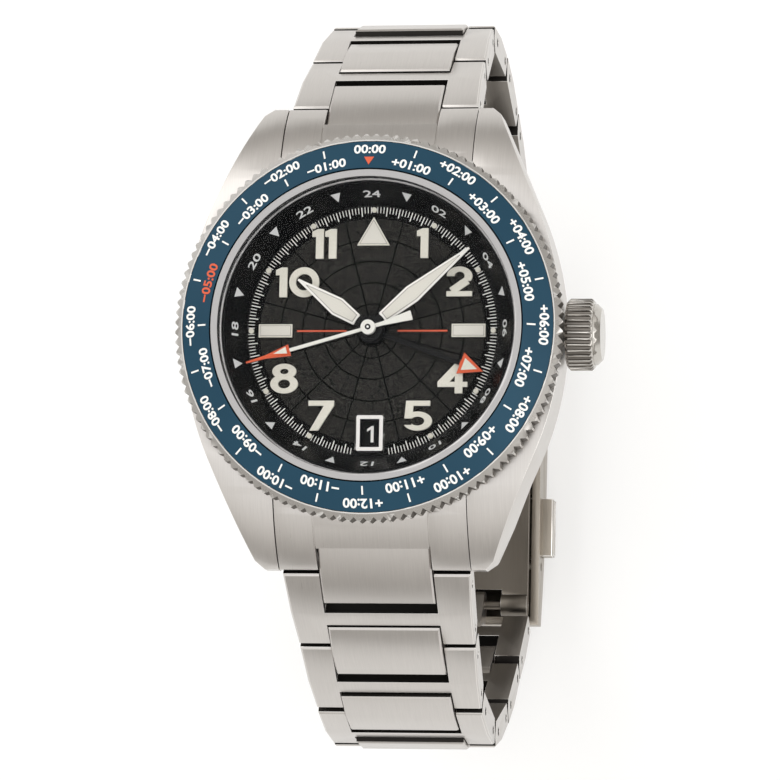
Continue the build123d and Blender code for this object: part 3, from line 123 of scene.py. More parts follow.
# %% [markdown]
# The camera. Lines in the photograph that are straight and parallel on a real watch, such as the
# edges of the bracelet, give the direction of view: almost straight down on the dial, a little
# from the crown side and from 6 o'clock. A long lens stands half a metre away.

# %% Camera
DIAL_Z = 7.6 * MM
CAMERA_DISTANCE = 495.8 * MM
CAMERA_TARGET = Vector((1.97 * MM, -6.11 * MM, DIAL_Z))
CAMERA_EAST = radians(8.73)
CAMERA_SOUTH = radians(7.74)
CAMERA_ROLL = radians(1.121)
FOCAL_PIXELS = 4846
FRAME_PIXELS = 780
SENSOR = 36

toward = Vector((tan(CAMERA_EAST), -tan(CAMERA_SOUTH), 1)).normalized()
level_right = (-toward).cross(Vector((0, 1, 0))).normalized()
level_up = level_right.cross(-toward)
right = cos(CAMERA_ROLL) * level_right + sin(CAMERA_ROLL) * level_up
up = -sin(CAMERA_ROLL) * level_right + cos(CAMERA_ROLL) * level_up
lens = bpy.data.cameras.new("camera")
lens.sensor_width = SENSOR
lens.lens = SENSOR * FOCAL_PIXELS / FRAME_PIXELS
lens.clip_start = 0.01
camera = bpy.data.objects.new("camera", lens)
scene.collection.objects.link(camera)
turn = Matrix((right, up, toward)).transposed().to_4x4()
camera.matrix_world = Matrix.Translation(CAMERA_TARGET + toward * CAMERA_DISTANCE) @ turn
scene.camera = camera
print("camera at", [round(v / MM, 1) for v in camera.matrix_world.translation], "lens", round(lens.lens, 1))

# %% [markdown]
# A product shot of steel is lit with large soft boxes, because metal shows what is around it.
# The room is a pale grey with a darker ring at table height, so that flats stay light
# and rounded edges get the dark line that makes them read as metal.

# %% Room, floor and lights
FLOOR_DROP = 0.5 * MM
FLOOR_SIZE = 3.0
FLOOR_GLOW = 0.42
ROOM_STRENGTH = 1.32
ROOM_SHADES = ((0.0, "B0B0B0"), (0.47, "77746F"), (0.62, "B3B0AC"), (0.80, "E3E1DE"), (1.0, "F0EEEC"))

world = bpy.data.worlds.new("room")
scene.world = world
world.use_nodes = True
tree = world.node_tree
direction = add_node(tree, "ShaderNodeTexCoord").outputs["Generated"]
height = add_node(tree, "ShaderNodeSeparateXYZ", {0: direction}).outputs["Z"]
ramp = add_node(tree, "ShaderNodeValToRGB", {0: math(tree, "MULTIPLY_ADD", height, 0.5, 0.5)})
for place, shade in ROOM_SHADES:
    stop = ramp.color_ramp.elements.new(place)
    stop.color = linear(shade)
ramp.color_ramp.elements.remove(ramp.color_ramp.elements[0])
ramp.color_ramp.elements.remove(ramp.color_ramp.elements[-1])
background = tree.nodes["Background"]
tree.links.new(ramp.outputs[0], background.inputs[0])
background.inputs[1].default_value = ROOM_STRENGTH


def soft_box(name, place, aim, size, power):
    """A rectangular lamp: its place, aim and size are in millimetres, and its power in watts."""
    light = bpy.data.lights.new(name, "AREA")
    light.shape = "RECTANGLE"
    light.size, light.size_y = size[0] * MM, size[1] * MM
    light.energy = power
    lamp = bpy.data.objects.new(name, light)
    scene.collection.objects.link(lamp)
    lamp.location = Vector(place) * MM
    lamp.rotation_euler = (Vector(aim) * MM - lamp.location).to_track_quat("-Z", "Y").to_euler()


soft_box("key_box", (-460, 420, 640), (0, 0, 0), (620, 620), 1.2)
soft_box("fill_box", (560, -160, 520), (0, 0, -10), (520, 520), 1.2)

bpy.ops.object.select_all(action="DESELECT")
bpy.ops.mesh.primitive_plane_add(size=FLOOR_SIZE, location=(0, 0, cad_low.z - FLOOR_DROP))
floor = bpy.context.object
floor.name = "floor"
bpy.ops.object.transform_apply(location=True)
acrylic, tree, shader = new_material("backlit_opal_acrylic")
shader.inputs["Base Color"].default_value = linear("C8C8C7")
shader.inputs["Roughness"].default_value = 0.9
shader.inputs["Emission Color"].default_value = linear("FFFFFF")
shader.inputs["Emission Strength"].default_value = FLOOR_GLOW
floor.data.materials.append(acrylic)
scene.view_settings.view_transform = "Standard"
print("floor at", round((cad_low.z - FLOOR_DROP) / MM, 1), "mm")

# %% [markdown]
# The steel is 316L stainless. Its broad faces are brushed: a belt drags fine scratches along them,
# so the light spreads across the lines and stays sharp along them. Brushing lines are a few
# hundredths of a millimetre apart, too fine to show, so they are drawn about 0.1 mm apart.
# Lines on the top faces run along the bracelet. On the sides they run level round the case, and
# along the loop on the bracelet.

# %% Brushed and polished steel
LOOP_CENTRE_Z = -27.0
BRUSH_GRAIN = 15.0
BRUSH_DEPTH = 0.006
BRUSH_STRETCH = 0.02
SIDE_FACING = 0.7


def brushed_steel(name, tint, side_line, rough=0.32):
    """side_line picks what the lines on the sides follow: 'level' on the case, 'loop' on the bracelet."""
    material, tree, shader = new_material(name)
    coords = add_node(tree, "ShaderNodeTexCoord")
    place = add_node(tree, "ShaderNodeSeparateXYZ", {0: coords.outputs["Object"]}).outputs
    facing = add_node(tree, "ShaderNodeSeparateXYZ", {0: coords.outputs["Normal"]}).outputs["X"]
    if side_line == "level":
        across = place["Z"]
    else:
        above = math(tree, "ADD", place["Z"], -LOOP_CENTRE_Z * MM)
        squares = math(tree, "ADD", math(tree, "POWER", place["Y"], 2.0), math(tree, "POWER", above, 2.0))
        across = math(tree, "SQRT", squares)
    short_y = math(tree, "MULTIPLY", place["Y"], BRUSH_STRETCH)
    short_z = math(tree, "MULTIPLY", place["Z"], BRUSH_STRETCH)
    top = add_node(tree, "ShaderNodeCombineXYZ", {0: place["X"], 1: short_y, 2: short_z}).outputs[0]
    side = add_node(tree, "ShaderNodeCombineXYZ", {0: across, 1: short_y}).outputs[0]
    on_side = math(tree, "GREATER_THAN", math(tree, "ABSOLUTE", facing), SIDE_FACING)
    where = add_node(tree, "ShaderNodeMix", {"Factor": on_side, "A": top, "B": side}, data_type="VECTOR")
    lines = add_node(tree, "ShaderNodeTexNoise", {"Vector": where.outputs["Result"],
                     "Scale": BRUSH_GRAIN / MM, "Detail": 2.0, "Roughness": 0.6}).outputs["Fac"]
    broad = add_node(tree, "ShaderNodeTexNoise", {"Vector": coords.outputs["Object"], "Scale": 0.16 / MM,
                     "Detail": 2.0}).outputs["Fac"]
    shade = add_node(tree, "ShaderNodeMapRange", {"Value": lines, "From Min": 0.3, "From Max": 0.7,
                     "To Min": 0.95, "To Max": 1.04}).outputs[0]
    colour = add_node(tree, "ShaderNodeMix", {"Factor": 1.0}, data_type="RGBA", blend_type="MULTIPLY")
    grey = add_node(tree, "ShaderNodeCombineColor", {0: shade, 1: shade, 2: shade}).outputs[0]
    tree.links.new(grey, colour.inputs[7])
    colour.inputs[6].default_value = linear(tint)
    tree.links.new(colour.outputs[2], shader.inputs["Base Color"])
    rough_value = math(tree, "ADD", math(tree, "MULTIPLY", lines, 0.14), math(tree, "MULTIPLY", broad, 0.10))
    tree.links.new(math(tree, "ADD", rough_value, rough - 0.12), shader.inputs["Roughness"])
    bump = add_node(tree, "ShaderNodeBump", {"Height": lines, "Strength": 0.25, "Distance": BRUSH_DEPTH * MM})
    tree.links.new(bump.outputs[0], shader.inputs["Normal"])
    shader.inputs["Metallic"].default_value = 1.0
    return material


def polished_steel(name, tint, rough):
    material, tree, shader = new_material(name)
    coords = add_node(tree, "ShaderNodeTexCoord").outputs["Object"]
    haze = add_node(tree, "ShaderNodeTexNoise", {"Vector": coords, "Scale": 0.7 / MM,
                    "Detail": 4.0}).outputs["Fac"]
    tree.links.new(math(tree, "MULTIPLY_ADD", haze, 0.08, rough - 0.04), shader.inputs["Roughness"])
    shader.inputs["Base Color"].default_value = linear(tint)
    shader.inputs["Metallic"].default_value = 1.0
    return material


case_steel = brushed_steel("brushed_316L_case", "C6C2BE", "level")
link_steel = brushed_steel("brushed_316L_links", "C2BEBA", "loop")
# The clasp steels are darker than the links' as painted shade: the clasp lies inside the bracelet's loop, and
# its leaves deeper still.
clasp_steel = brushed_steel("brushed_316L_clasp", "A39B90", "loop", rough=0.34)
painted_shade_leaf_steel = brushed_steel("brushed_316L_clasp_leaves", "6E6860", "loop", rough=0.38)
polish = polished_steel("polished_316L_edges", "E0DDD9", 0.12)
satin = polished_steel("satin_316L", "C8C5C1", 0.28)
collar_steel = polished_steel("turned_316L_collar", "A9A7A6", 0.16)
bright = polished_steel("polished_316L_crown", "BCB8B2", 0.2)
ground = polished_steel("ground_steel_pins", "9A9896", 0.35)
# The next two steels are painted shade: near black for the end walls in the gaps, darker for the links' inner
# sides.
painted_shade_gap_steel = polished_steel("sawn_steel_in_gaps", "2A2826", 0.5)
painted_shade_under_steel = brushed_steel("brushed_316L_undersides", "8A857F", "loop", rough=0.36)
print("steels:", case_steel.name, link_steel.name, clasp_steel.name, polish.name)

# %% [markdown]
# A real case has no knife edges: after brushing, each edge is broken on a polishing wheel and
# catches the light as a thin bright line. The CAD solid has sharp edges, so its mesh is copied,
# its triangles are merged back to whole faces, and a Bevel modifier rounds each sharp edge.
# The modifier also gives the new strip its own material, the polished one.
# A link's end walls stand in the narrow gaps between links, where little light comes in; they get a
# near-black steel, which is painted shade, and its inner side, on the wrist, gets a darker brushed steel,
# also painted shade.

# %% Broken edges
MERGE_DISTANCE = 1e-7
FLAT_ANGLE = radians(0.4)
SMOOTH_ANGLE = radians(28)
EDGE_ANGLE = radians(32)


def select_only(thing):
    bpy.ops.object.select_all(action="DESELECT")
    thing.select_set(True)
    bpy.context.view_layer.objects.active = thing


def merged_copy(node):
    """A copy of a CAD node's mesh with its loose triangles merged back to whole faces."""
    piece = bpy.data.objects.new(node + "_dressed", nodes[node].data.copy())
    scene.collection.objects.link(piece)
    select_only(piece)
    bpy.ops.object.mode_set(mode="EDIT")
    bpy.ops.mesh.select_all(action="SELECT")
    bpy.ops.mesh.remove_doubles(threshold=MERGE_DISTANCE)
    bpy.ops.mesh.dissolve_limited(angle_limit=FLAT_ANGLE)
    bpy.ops.object.mode_set(mode="OBJECT")
    piece.data.materials.clear()
    return piece


def stand_for(piece, node):
    """Lets a dressed copy ride where its CAD node rides, and stand for it."""
    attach(piece, home[node])
    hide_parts(node)
    return piece


def recolour(piece, index, test):
    """Gives material number index to each face whose middle and normal pass the test, in millimetres."""
    for face in piece.data.polygons:
        x, y, z = (c / MM for c in face.center)
        if test(hypot(x, y), z, Vector((x, y, 0)).normalized().dot(face.normal), face.normal.z):
            face.material_index = index


def broken_edges(node, steel, width):
    piece = merged_copy(node)
    piece.data.materials.append(steel)
    piece.data.materials.append(polish)
    bevel = piece.modifiers.new("edge", "BEVEL")
    bevel.width = width * MM
    bevel.segments = 2
    bevel.limit_method = "ANGLE"
    bevel.angle_limit = EDGE_ANGLE
    bevel.use_clamp_overlap = True
    bevel.material = 1
    bevel.miter_outer = "MITER_SHARP"
    bpy.ops.object.modifier_apply(modifier=bevel.name)
    bpy.ops.object.shade_smooth_by_angle(angle=SMOOTH_ANGLE)
    return stand_for(piece, node)


SHADED_GAP, SHADED_UNDERSIDE = 2, 3
TOP_FACING = 0.6


def shade_gaps(piece):
    """Gives a link's end walls and its inner side darker steels: painted shade."""
    for face in piece.data.polygons:
        y, z = face.center.y / MM, face.center.z / MM - LOOP_CENTRE_Z
        outward = (y * face.normal.y + z * face.normal.z) / hypot(y, z)
        if face.material_index == 0 and abs(face.normal.x) < 0.5 and outward < TOP_FACING:
            face.material_index = SHADED_GAP if outward > -TOP_FACING else SHADED_UNDERSIDE


COLLAR_R = 16.1
COLLAR_FOOT_Z = 10.5
CASE_EDGE, LINK_EDGE, END_LINK_EDGE, CLASP_EDGE = 0.22, 0.17, 0.12, 0.16
edges = {"mid_case": (case_steel, CASE_EDGE, "brushed_case_steel")}
for node in nodes:
    if node.startswith(("h_link", "centre_link", "clasp_link")):
        edges[node] = (link_steel, LINK_EDGE, "brushed_link_steel")
    elif node.startswith("end_link"):
        edges[node] = (link_steel, END_LINK_EDGE, "brushed_link_steel")
    elif node.startswith("clasp"):
        edges[node] = (painted_shade_leaf_steel if "leaf" in node else clasp_steel, CLASP_EDGE, "clasp_steel")
for node, (steel, width, slot_name) in edges.items():
    piece = broken_edges(node, steel, width)
    if "link" in node:
        # The end walls in the gaps and the inner sides get the painted-shade steels.
        piece.data.materials.append(painted_shade_gap_steel)
        piece.data.materials.append(painted_shade_under_steel)
        shade_gaps(piece)
    if node == "mid_case":
        piece.data.materials.append(collar_steel)
        recolour(piece, 2, lambda radius, z, outward, upward: radius < COLLAR_R and z > COLLAR_FOOT_Z)
    print(node, len(piece.data.polygons), "faces")

# %% [markdown]
# The bezel, crown and small steel parts already have their shape in the CAD model, down to the
# coin-edge teeth, so they only get a finish, and the bezel's notches and the crown's flutes painted shade.
# Where one part has two colours, a copy of it is coloured face by face, because a CAD part's own mesh stays
# as it is.

# %% Finishes and painted shade on CAD parts
def dress(node, material):
    mesh = nodes[node].data
    mesh.materials.clear()
    mesh.materials.append(material)


def dressed_copy(node, slot_name, *materials):
    """A copy of a CAD part that can hold several finishes, or painted shade, face by face."""
    piece = merged_copy(node)
    for material in materials:
        piece.data.materials.append(material)
    bpy.ops.object.shade_smooth_by_angle(angle=SMOOTH_ANGLE)
    return stand_for(piece, node)


for node, material in (("case_back", case_steel), ("date_frame", polish),
                       ("spring_bars", ground), ("crown_tube", ground), ("winding_stem", ground),
                       ("setting_lever", ground), ("bezel_click_spring", ground)):
    dress(node, material)

# The walls of the bezel's notches get a dull dark steel: painted shade in the notches.
NOTCH_FOOT_R = 19
painted_shade_notch_steel = polished_steel("milled_steel_notches", "65615C", 0.5)
bezel_ring = dressed_copy("bezel", "bezel_steel", satin, painted_shade_notch_steel)
recolour(bezel_ring, 1, lambda radius, z, outward, upward:
         abs(upward) < 0.3 and abs(outward) < 0.9 and radius > NOTCH_FOOT_R)

# The crown's flutes are darker only at their bottoms, which lie well inside the crown's own radius; the dark
# is painted shade.
CROWN_AXIS_Z = 4.6
FLUTE_LOW_R, FLUTE_HIGH_R = 3.42, 3.58
painted_shade_flute_steel = polished_steel("turned_steel_flutes", "7A756F", 0.4)
crown = dressed_copy("crown", "crown_steel", bright, painted_shade_flute_steel)
for face in crown.data.polygons:
    x, y, z = (c / MM for c in face.center)
    if FLUTE_LOW_R < hypot(y, z - CROWN_AXIS_Z) < FLUTE_HIGH_R and abs(face.normal.x) < 0.3:
        face.material_index = 1
print("bezel and crown:", len(bezel_ring.data.polygons), len(crown.data.polygons), "faces")

# %% [markdown]
# Inside, the movement is nickel-plated brass with a striped finish, a millimetre or so a stripe.
# The stripes are shallow grooves, drawn with a wave of roughness and bump.

# %% Movement and gasket
plated, tree, shader = new_material("nickel_plated_brass")
coords = add_node(tree, "ShaderNodeTexCoord").outputs["Object"]
stripes = add_node(tree, "ShaderNodeTexWave", {"Vector": coords, "Scale": 0.25 / MM}, wave_profile="SAW")
tree.links.new(math(tree, "MULTIPLY_ADD", stripes.outputs["Fac"], 0.2, 0.18), shader.inputs["Roughness"])
bump = add_node(tree, "ShaderNodeBump", {"Height": stripes.outputs["Fac"], "Strength": 0.2,
                "Distance": 0.02 * MM})
tree.links.new(bump.outputs[0], shader.inputs["Normal"])
shader.inputs["Base Color"].default_value = linear("CFC6AE")
shader.inputs["Metallic"].default_value = 1.0
nitrile, tree, shader = new_material("nitrile_rubber")
coords = add_node(tree, "ShaderNodeTexCoord").outputs["Object"]
grit = add_node(tree, "ShaderNodeTexNoise", {"Vector": coords, "Scale": 6 / MM}).outputs["Fac"]
tree.links.new(math(tree, "MULTIPLY_ADD", grit, 0.2, 0.6), shader.inputs["Roughness"])
shader.inputs["Base Color"].default_value = linear("1B1B1C")
for node in ("movement_plate", "rotor", "mainspring_barrel", "balance_wheel"):
    dress(node, plated)
dress("case_gasket", nitrile)
print("inside:", plated.name, nitrile.name)

# %% [markdown]
# The bezel insert is an aluminium ring, anodised blue. Anodising leaves a thin hard skin,
# so the metal shows through the dye with a dull satin gloss and a very fine grain.
# Lacquers and inks differ only in colour, roughness and gloss, so one function makes them all.

# %% Insert, hour ring, dial base
anodised, tree, shader = new_material("anodised_aluminium_blue")
coords = add_node(tree, "ShaderNodeTexCoord").outputs["Object"]
grain = add_node(tree, "ShaderNodeTexNoise", {"Vector": coords, "Scale": 9 / MM,
                 "Detail": 3.0}).outputs["Fac"]
cloud = add_node(tree, "ShaderNodeTexNoise", {"Vector": coords, "Scale": 0.12 / MM}).outputs["Fac"]
ramp = add_node(tree, "ShaderNodeValToRGB", {0: cloud})
ramp.color_ramp.elements[0].color = linear("163A4D")
ramp.color_ramp.elements[1].color = linear("1D465B")
tree.links.new(ramp.outputs[0], shader.inputs["Base Color"])
tree.links.new(math(tree, "MULTIPLY_ADD", grain, 0.16, 0.34), shader.inputs["Roughness"])
bump = add_node(tree, "ShaderNodeBump", {"Height": grain, "Strength": 0.15, "Distance": 0.01 * MM})
tree.links.new(bump.outputs[0], shader.inputs["Normal"])
shader.inputs["Metallic"].default_value = 0.2
shader.inputs["Specular IOR Level"].default_value = 0.25
dress("bezel_insert", anodised)


LACQUER_GRAIN = 5.0
LACQUER_DEPTH = 0.004


def lacquer(name, code, rough, gloss=0.5):
    material, tree, shader = new_material(name)
    coords = add_node(tree, "ShaderNodeTexCoord").outputs["Object"]
    grit = add_node(tree, "ShaderNodeTexNoise", {"Vector": coords, "Scale": LACQUER_GRAIN / MM,
                    "Detail": 3.0}).outputs["Fac"]
    tree.links.new(math(tree, "MULTIPLY_ADD", grit, 0.12, rough - 0.06), shader.inputs["Roughness"])
    bump = add_node(tree, "ShaderNodeBump", {"Height": grit, "Strength": 0.2,
                    "Distance": LACQUER_DEPTH * MM})
    tree.links.new(bump.outputs[0], shader.inputs["Normal"])
    shader.inputs["Base Color"].default_value = linear(code)
    shader.inputs["Specular IOR Level"].default_value = gloss
    return material


black_satin = lacquer("black_lacquer", "060606", 0.34, gloss=0.05)
ring_black = lacquer("satin_black_brass_ring", "08090A", 0.28, gloss=0.12)
date_black = lacquer("matt_black_date_disc", "0A0A0B", 0.6, gloss=0.1)
white_ink = lacquer("white_pad_print", "F4F4F0", 0.55)
ring_ink = lacquer("grey_white_pad_print", "E4E6E6", 0.5)
orange_ink = lacquer("orange_red_pad_print", "DC6446", 0.5, gloss=0.2)
hub_black = lacquer("black_nickel_hub", "1A1A1C", 0.25)
tray_grey = lacquer("shaded_tray_wall", "8B8882", 0.5)
hand_lume = lacquer("fine_luminous_paint", "DAD7CE", 0.7, gloss=0.2)
dress("hour_ring", ring_black)
dress("dial", black_satin)
dress("date_disc", date_black)
print("blacks:", black_satin.name, ring_black.name, date_black.name)

# %% [markdown]
# Luminous paint is a thick ceramic powder in varnish: creamy, quite matt and faintly lumpy,
# with a soft edge where it was laid on.

# %% Luminous paint
lume, tree, shader = new_material("luminous_paint")
coords = add_node(tree, "ShaderNodeTexCoord").outputs["Object"]
lumps = add_node(tree, "ShaderNodeTexNoise", {"Vector": coords, "Scale": 4 / MM,
                 "Detail": 4.0}).outputs["Fac"]
ramp = add_node(tree, "ShaderNodeValToRGB", {0: lumps})
ramp.color_ramp.elements[0].color = linear("D3D0C2")
ramp.color_ramp.elements[1].color = linear("E8E5DA")
tree.links.new(ramp.outputs[0], shader.inputs["Base Color"])
bump = add_node(tree, "ShaderNodeBump", {"Height": lumps, "Strength": 0.4, "Distance": 0.02 * MM})
tree.links.new(bump.outputs[0], shader.inputs["Normal"])
shader.inputs["Roughness"].default_value = 0.75
dress("hour_markers", lume)
print("markers in", lume.name)

# %% [markdown]
# The crystal is sapphire with an anti-reflection coat, so the dial shows almost as if it weren't
# there. It is a clear skin with a low alpha and a sharp gloss, and its rim shows as a dark edge.

# %% Crystal
sapphire, tree, shader = new_material("coated_sapphire")
shader.inputs["Base Color"].default_value = linear("0A0D10")
shader.inputs["Roughness"].default_value = 0.03
shader.inputs["IOR"].default_value = 1.77
shader.inputs["Alpha"].default_value = 0.04
rim_glass, tree, shader = new_material("polished_sapphire_rim")
shader.inputs["Base Color"].default_value = linear("3A3D40")
shader.inputs["Roughness"].default_value = 0.08
shader.inputs["IOR"].default_value = 1.77
shader.inputs["Alpha"].default_value = 0.6
glass = dressed_copy("crystal", "sapphire", sapphire, rim_glass)
recolour(glass, 1, lambda radius, z, outward, upward: abs(upward) < 0.5)
print("crystal:", sum(face.material_index for face in glass.data.polygons), "rim faces")

# %% [markdown]
# The dial centre is stamped: raised black tiles with a rough grain, parted by thin grooves that
# run like the lines of a globe seen from its pole, twelve spokes across five rings.
# One tile of each ring is drawn flat, given its thickness, and copied round with Spin.

# %% Stamped dial centre
TILE_HEIGHT = 0.07
GROOVE = 0.18
CIRCLES = (1.6, 2.8, 5.0, 7.25, 9.5, 11.72)
SPOKES = 12
TILE_STEPS = 10
LIFT = 0.001


def flat_object(name, points, faces):
    mesh = bpy.data.meshes.new(name)
    mesh.from_pydata([[c * MM for c in p] for p in points], [], faces)
    piece = bpy.data.objects.new(name, mesh)
    scene.collection.objects.link(piece)
    select_only(piece)
    return piece


def edit(piece):
    select_only(piece)
    bpy.ops.object.mode_set(mode="EDIT")
    bpy.ops.mesh.select_all(action="SELECT")


def done():
    bpy.ops.object.mode_set(mode="OBJECT")


def raise_up(piece, height):
    edit(piece)
    bpy.ops.mesh.extrude_region_move(TRANSFORM_OT_translate={"value": (0, 0, height * MM)})
    bpy.ops.mesh.select_all(action="SELECT")
    bpy.ops.mesh.normals_make_consistent(inside=False)
    done()


def copy_round(piece, count):
    edit(piece)
    step = 2 * pi / count
    bpy.ops.mesh.spin(steps=count - 1, dupli=True, angle=step * (count - 1), center=(0, 0, 0), axis=(0, 0, 1))
    done()


def join(pieces, name):
    bpy.ops.object.select_all(action="DESELECT")
    for piece in pieces:
        piece.select_set(True)
    bpy.context.view_layer.objects.active = pieces[0]
    bpy.ops.object.join()
    pieces[0].name = name
    return pieces[0]


tiles = []
for inner, outer in zip(CIRCLES, CIRCLES[1:]):
    low_r, high_r = inner + GROOVE / 2, outer - GROOVE / 2
    points = []
    for radius in (low_r, high_r):
        half = pi / SPOKES - GROOVE / 2 / radius
        for i in range(TILE_STEPS + 1):
            angle = half * (2 * i / TILE_STEPS - 1)
            points.append((radius * cos(angle), radius * sin(angle), DIAL_Z / MM + LIFT))
    row = TILE_STEPS + 1
    faces = [(i, row + i, row + i + 1, i + 1) for i in range(TILE_STEPS)]
    tile = flat_object("tile", points, faces)
    raise_up(tile, TILE_HEIGHT)
    copy_round(tile, SPOKES)
    tiles.append(tile)
tiles = join(tiles, "dial_tiles")

# The tiles stop at the date window's frame.
window_low, window_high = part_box("date_frame")
bpy.ops.object.select_all(action="DESELECT")
bpy.ops.mesh.primitive_cube_add(size=1)
cutter = bpy.context.object
cutter.scale = (window_high.x - window_low.x, window_high.y - window_low.y, 4 * MM)
cutter.location = ((window_low.x + window_high.x) / 2, (window_low.y + window_high.y) / 2, DIAL_Z)
bpy.ops.object.transform_apply(location=True, scale=True)
select_only(tiles)
cut = tiles.modifiers.new("window", "BOOLEAN")
cut.operation = "DIFFERENCE"
cut.object = cutter
bpy.ops.object.modifier_apply(modifier=cut.name)
bpy.data.objects.remove(cutter)

stamped, tree, shader = new_material("stamped_black_dial")
coords = add_node(tree, "ShaderNodeTexCoord").outputs["Object"]
fibres = add_node(tree, "ShaderNodeTexNoise", {"Vector": coords, "Scale": 4.2 / MM, "Detail": 5.0,
                  "Roughness": 0.75, "Distortion": 1.5}).outputs["Fac"]
sharp = add_node(tree, "ShaderNodeMapRange", {"Value": fibres, "From Min": 0.46, "From Max": 0.60}).outputs[0]
ramp = add_node(tree, "ShaderNodeValToRGB", {0: sharp})
ramp.color_ramp.elements[0].color = linear("070707")
ramp.color_ramp.elements[1].color = linear("474540")
tree.links.new(ramp.outputs[0], shader.inputs["Base Color"])
bump = add_node(tree, "ShaderNodeBump", {"Height": sharp, "Strength": 0.8, "Distance": 0.05 * MM})
tree.links.new(bump.outputs[0], shader.inputs["Normal"])
shader.inputs["Roughness"].default_value = 0.5
shader.inputs["Specular IOR Level"].default_value = 0.15
tiles.data.materials.append(stamped)
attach(tiles, "root")
print("dial tiles:", len(tiles.data.polygons), "faces")

# %% [markdown]
# The printing is ink a few hundredths of a millimetre thick. Each mark is a real thin solid:
# short bars for the minute track, copied round with Spin, and Blender's own letters for numbers.

# %% Minute track and red lines
INK = 0.02
TICK_OUT, TICK_IN, LONG_TICK_IN = 12.9, 12.25, 11.95
TICK_HALF, LONG_TICK_HALF = 0.037, 0.05
MINUTES = 60
DOTS_APART, DOT_CLEAR = 30, 1.0
FRAME_CLEAR = 0.05
LINE_IN, LINE_OUT, LINE_HALF = 2.65, 7.8, 0.085


def bar(name, x0, x1, y0, y1, z):
    points = [(x0, y0, z), (x1, y0, z), (x1, y1, z), (x0, y1, z)]
    piece = flat_object(name, points, [(0, 1, 2, 3)])
    raise_up(piece, INK)
    return piece


def printed(piece, ink, body):
    piece.data.materials.clear()
    piece.data.materials.append(ink)
    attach(piece, body)


TRACK_Z = DIAL_Z / MM + 0.002
marks = []
for quarter in range(4):
    half = TICK_HALF if quarter else LONG_TICK_HALF
    piece = bar("tick", TICK_IN if quarter else LONG_TICK_IN, TICK_OUT, -half, half, TRACK_Z)
    edit(piece)
    turned = -radians(360 / MINUTES * quarter / 4)
    bpy.ops.transform.rotate(value=turned, orient_axis="Z", center_override=(0, 0, 0))
    done()
    copy_round(piece, MINUTES)
    marks.append(piece)
track = join(marks, "minute_track")
edit(track)
bpy.ops.mesh.select_all(action="DESELECT")
done()
# Marks that would lie under the twelve dots or the date frame are taken out.
for vertex in track.data.vertices:
    x, y = vertex.co.x / MM, vertex.co.y / MM
    bearing = degrees(atan2(x, y)) % DOTS_APART
    near_dot = min(bearing, DOTS_APART - bearing) < DOT_CLEAR
    under_frame = abs(x) < window_high.x / MM + FRAME_CLEAR and y < 0
    vertex.select = near_dot or under_frame
bpy.ops.object.mode_set(mode="EDIT")
bpy.ops.mesh.select_linked(delimit=set())
bpy.ops.mesh.delete(type="VERT")
done()
printed(track, white_ink, "root")
ends = ((LINE_IN, LINE_OUT), (-LINE_OUT, -LINE_IN))
lines = join([bar("line", *xs, -LINE_HALF, LINE_HALF, TRACK_Z + TILE_HEIGHT) for xs in ends], "axis_lines")
printed(lines, orange_ink, "root")
print("minute track:", len(track.data.polygons) // 6, "marks")

# %% [markdown]
# Numbers are set in Blender's built-in face, made a little bolder, turned to mesh and then wrapped
# round the ring they are printed on: across becomes an angle, and up becomes a step up the slope.

# %% Wrapped numbers
def number(text, size, bold, stretch):
    """Flat figures with their middle at the origin: size and bold in millimetres, stretch across."""
    bpy.ops.object.select_all(action="DESELECT")
    bpy.ops.object.text_add()
    piece = bpy.context.object
    piece.data.body = text
    piece.data.size = size * MM
    piece.data.offset = bold * MM
    piece.data.extrude = INK / 2 * MM
    piece.data.resolution_u = 3
    piece.data.align_x = "CENTER"
    bpy.ops.object.convert(target="MESH")
    xs = [v.co.x for v in piece.data.vertices]
    ys = [v.co.y for v in piece.data.vertices]
    middle_x, middle_y = (min(xs) + max(xs)) / 2, (min(ys) + max(ys)) / 2
    for vertex in piece.data.vertices:
        vertex.co.x = (vertex.co.x - middle_x) * stretch
        vertex.co.y -= middle_y
    return piece


def wrap(piece, bearing, radius, height, slope):
    """Lays a flat piece on a cone at this bearing: slope is the cone's angle outwards, in radians."""
    for vertex in piece.data.vertices:
        x, y, z = vertex.co
        r = radius * MM + y * cos(slope) - z * sin(slope)
        level = height * MM + y * sin(slope) + z * cos(slope)
        angle = radians(90 - bearing) - x / (radius * MM)
        vertex.co = (r * cos(angle), r * sin(angle), level)
    return piece


def wedge(half, low, high):
    """A flat triangle on the Y axis, with its foot at low and its point at high."""
    piece = flat_object("wedge", [(-half, low, 0), (half, low, 0), (0, high, 0)], [(0, 1, 2)])
    raise_up(piece, INK)
    return piece


INSERT_INNER, INSERT_OUTER = (16.15, 12.35), (19.15, 11.1)
INSERT_SLOPE = atan2(INSERT_OUTER[1] - INSERT_INNER[1], INSERT_OUTER[0] - INSERT_INNER[0])


def insert_height(radius):
    return INSERT_INNER[1] + (radius - INSERT_INNER[0]) * tan(INSERT_SLOPE) + INK


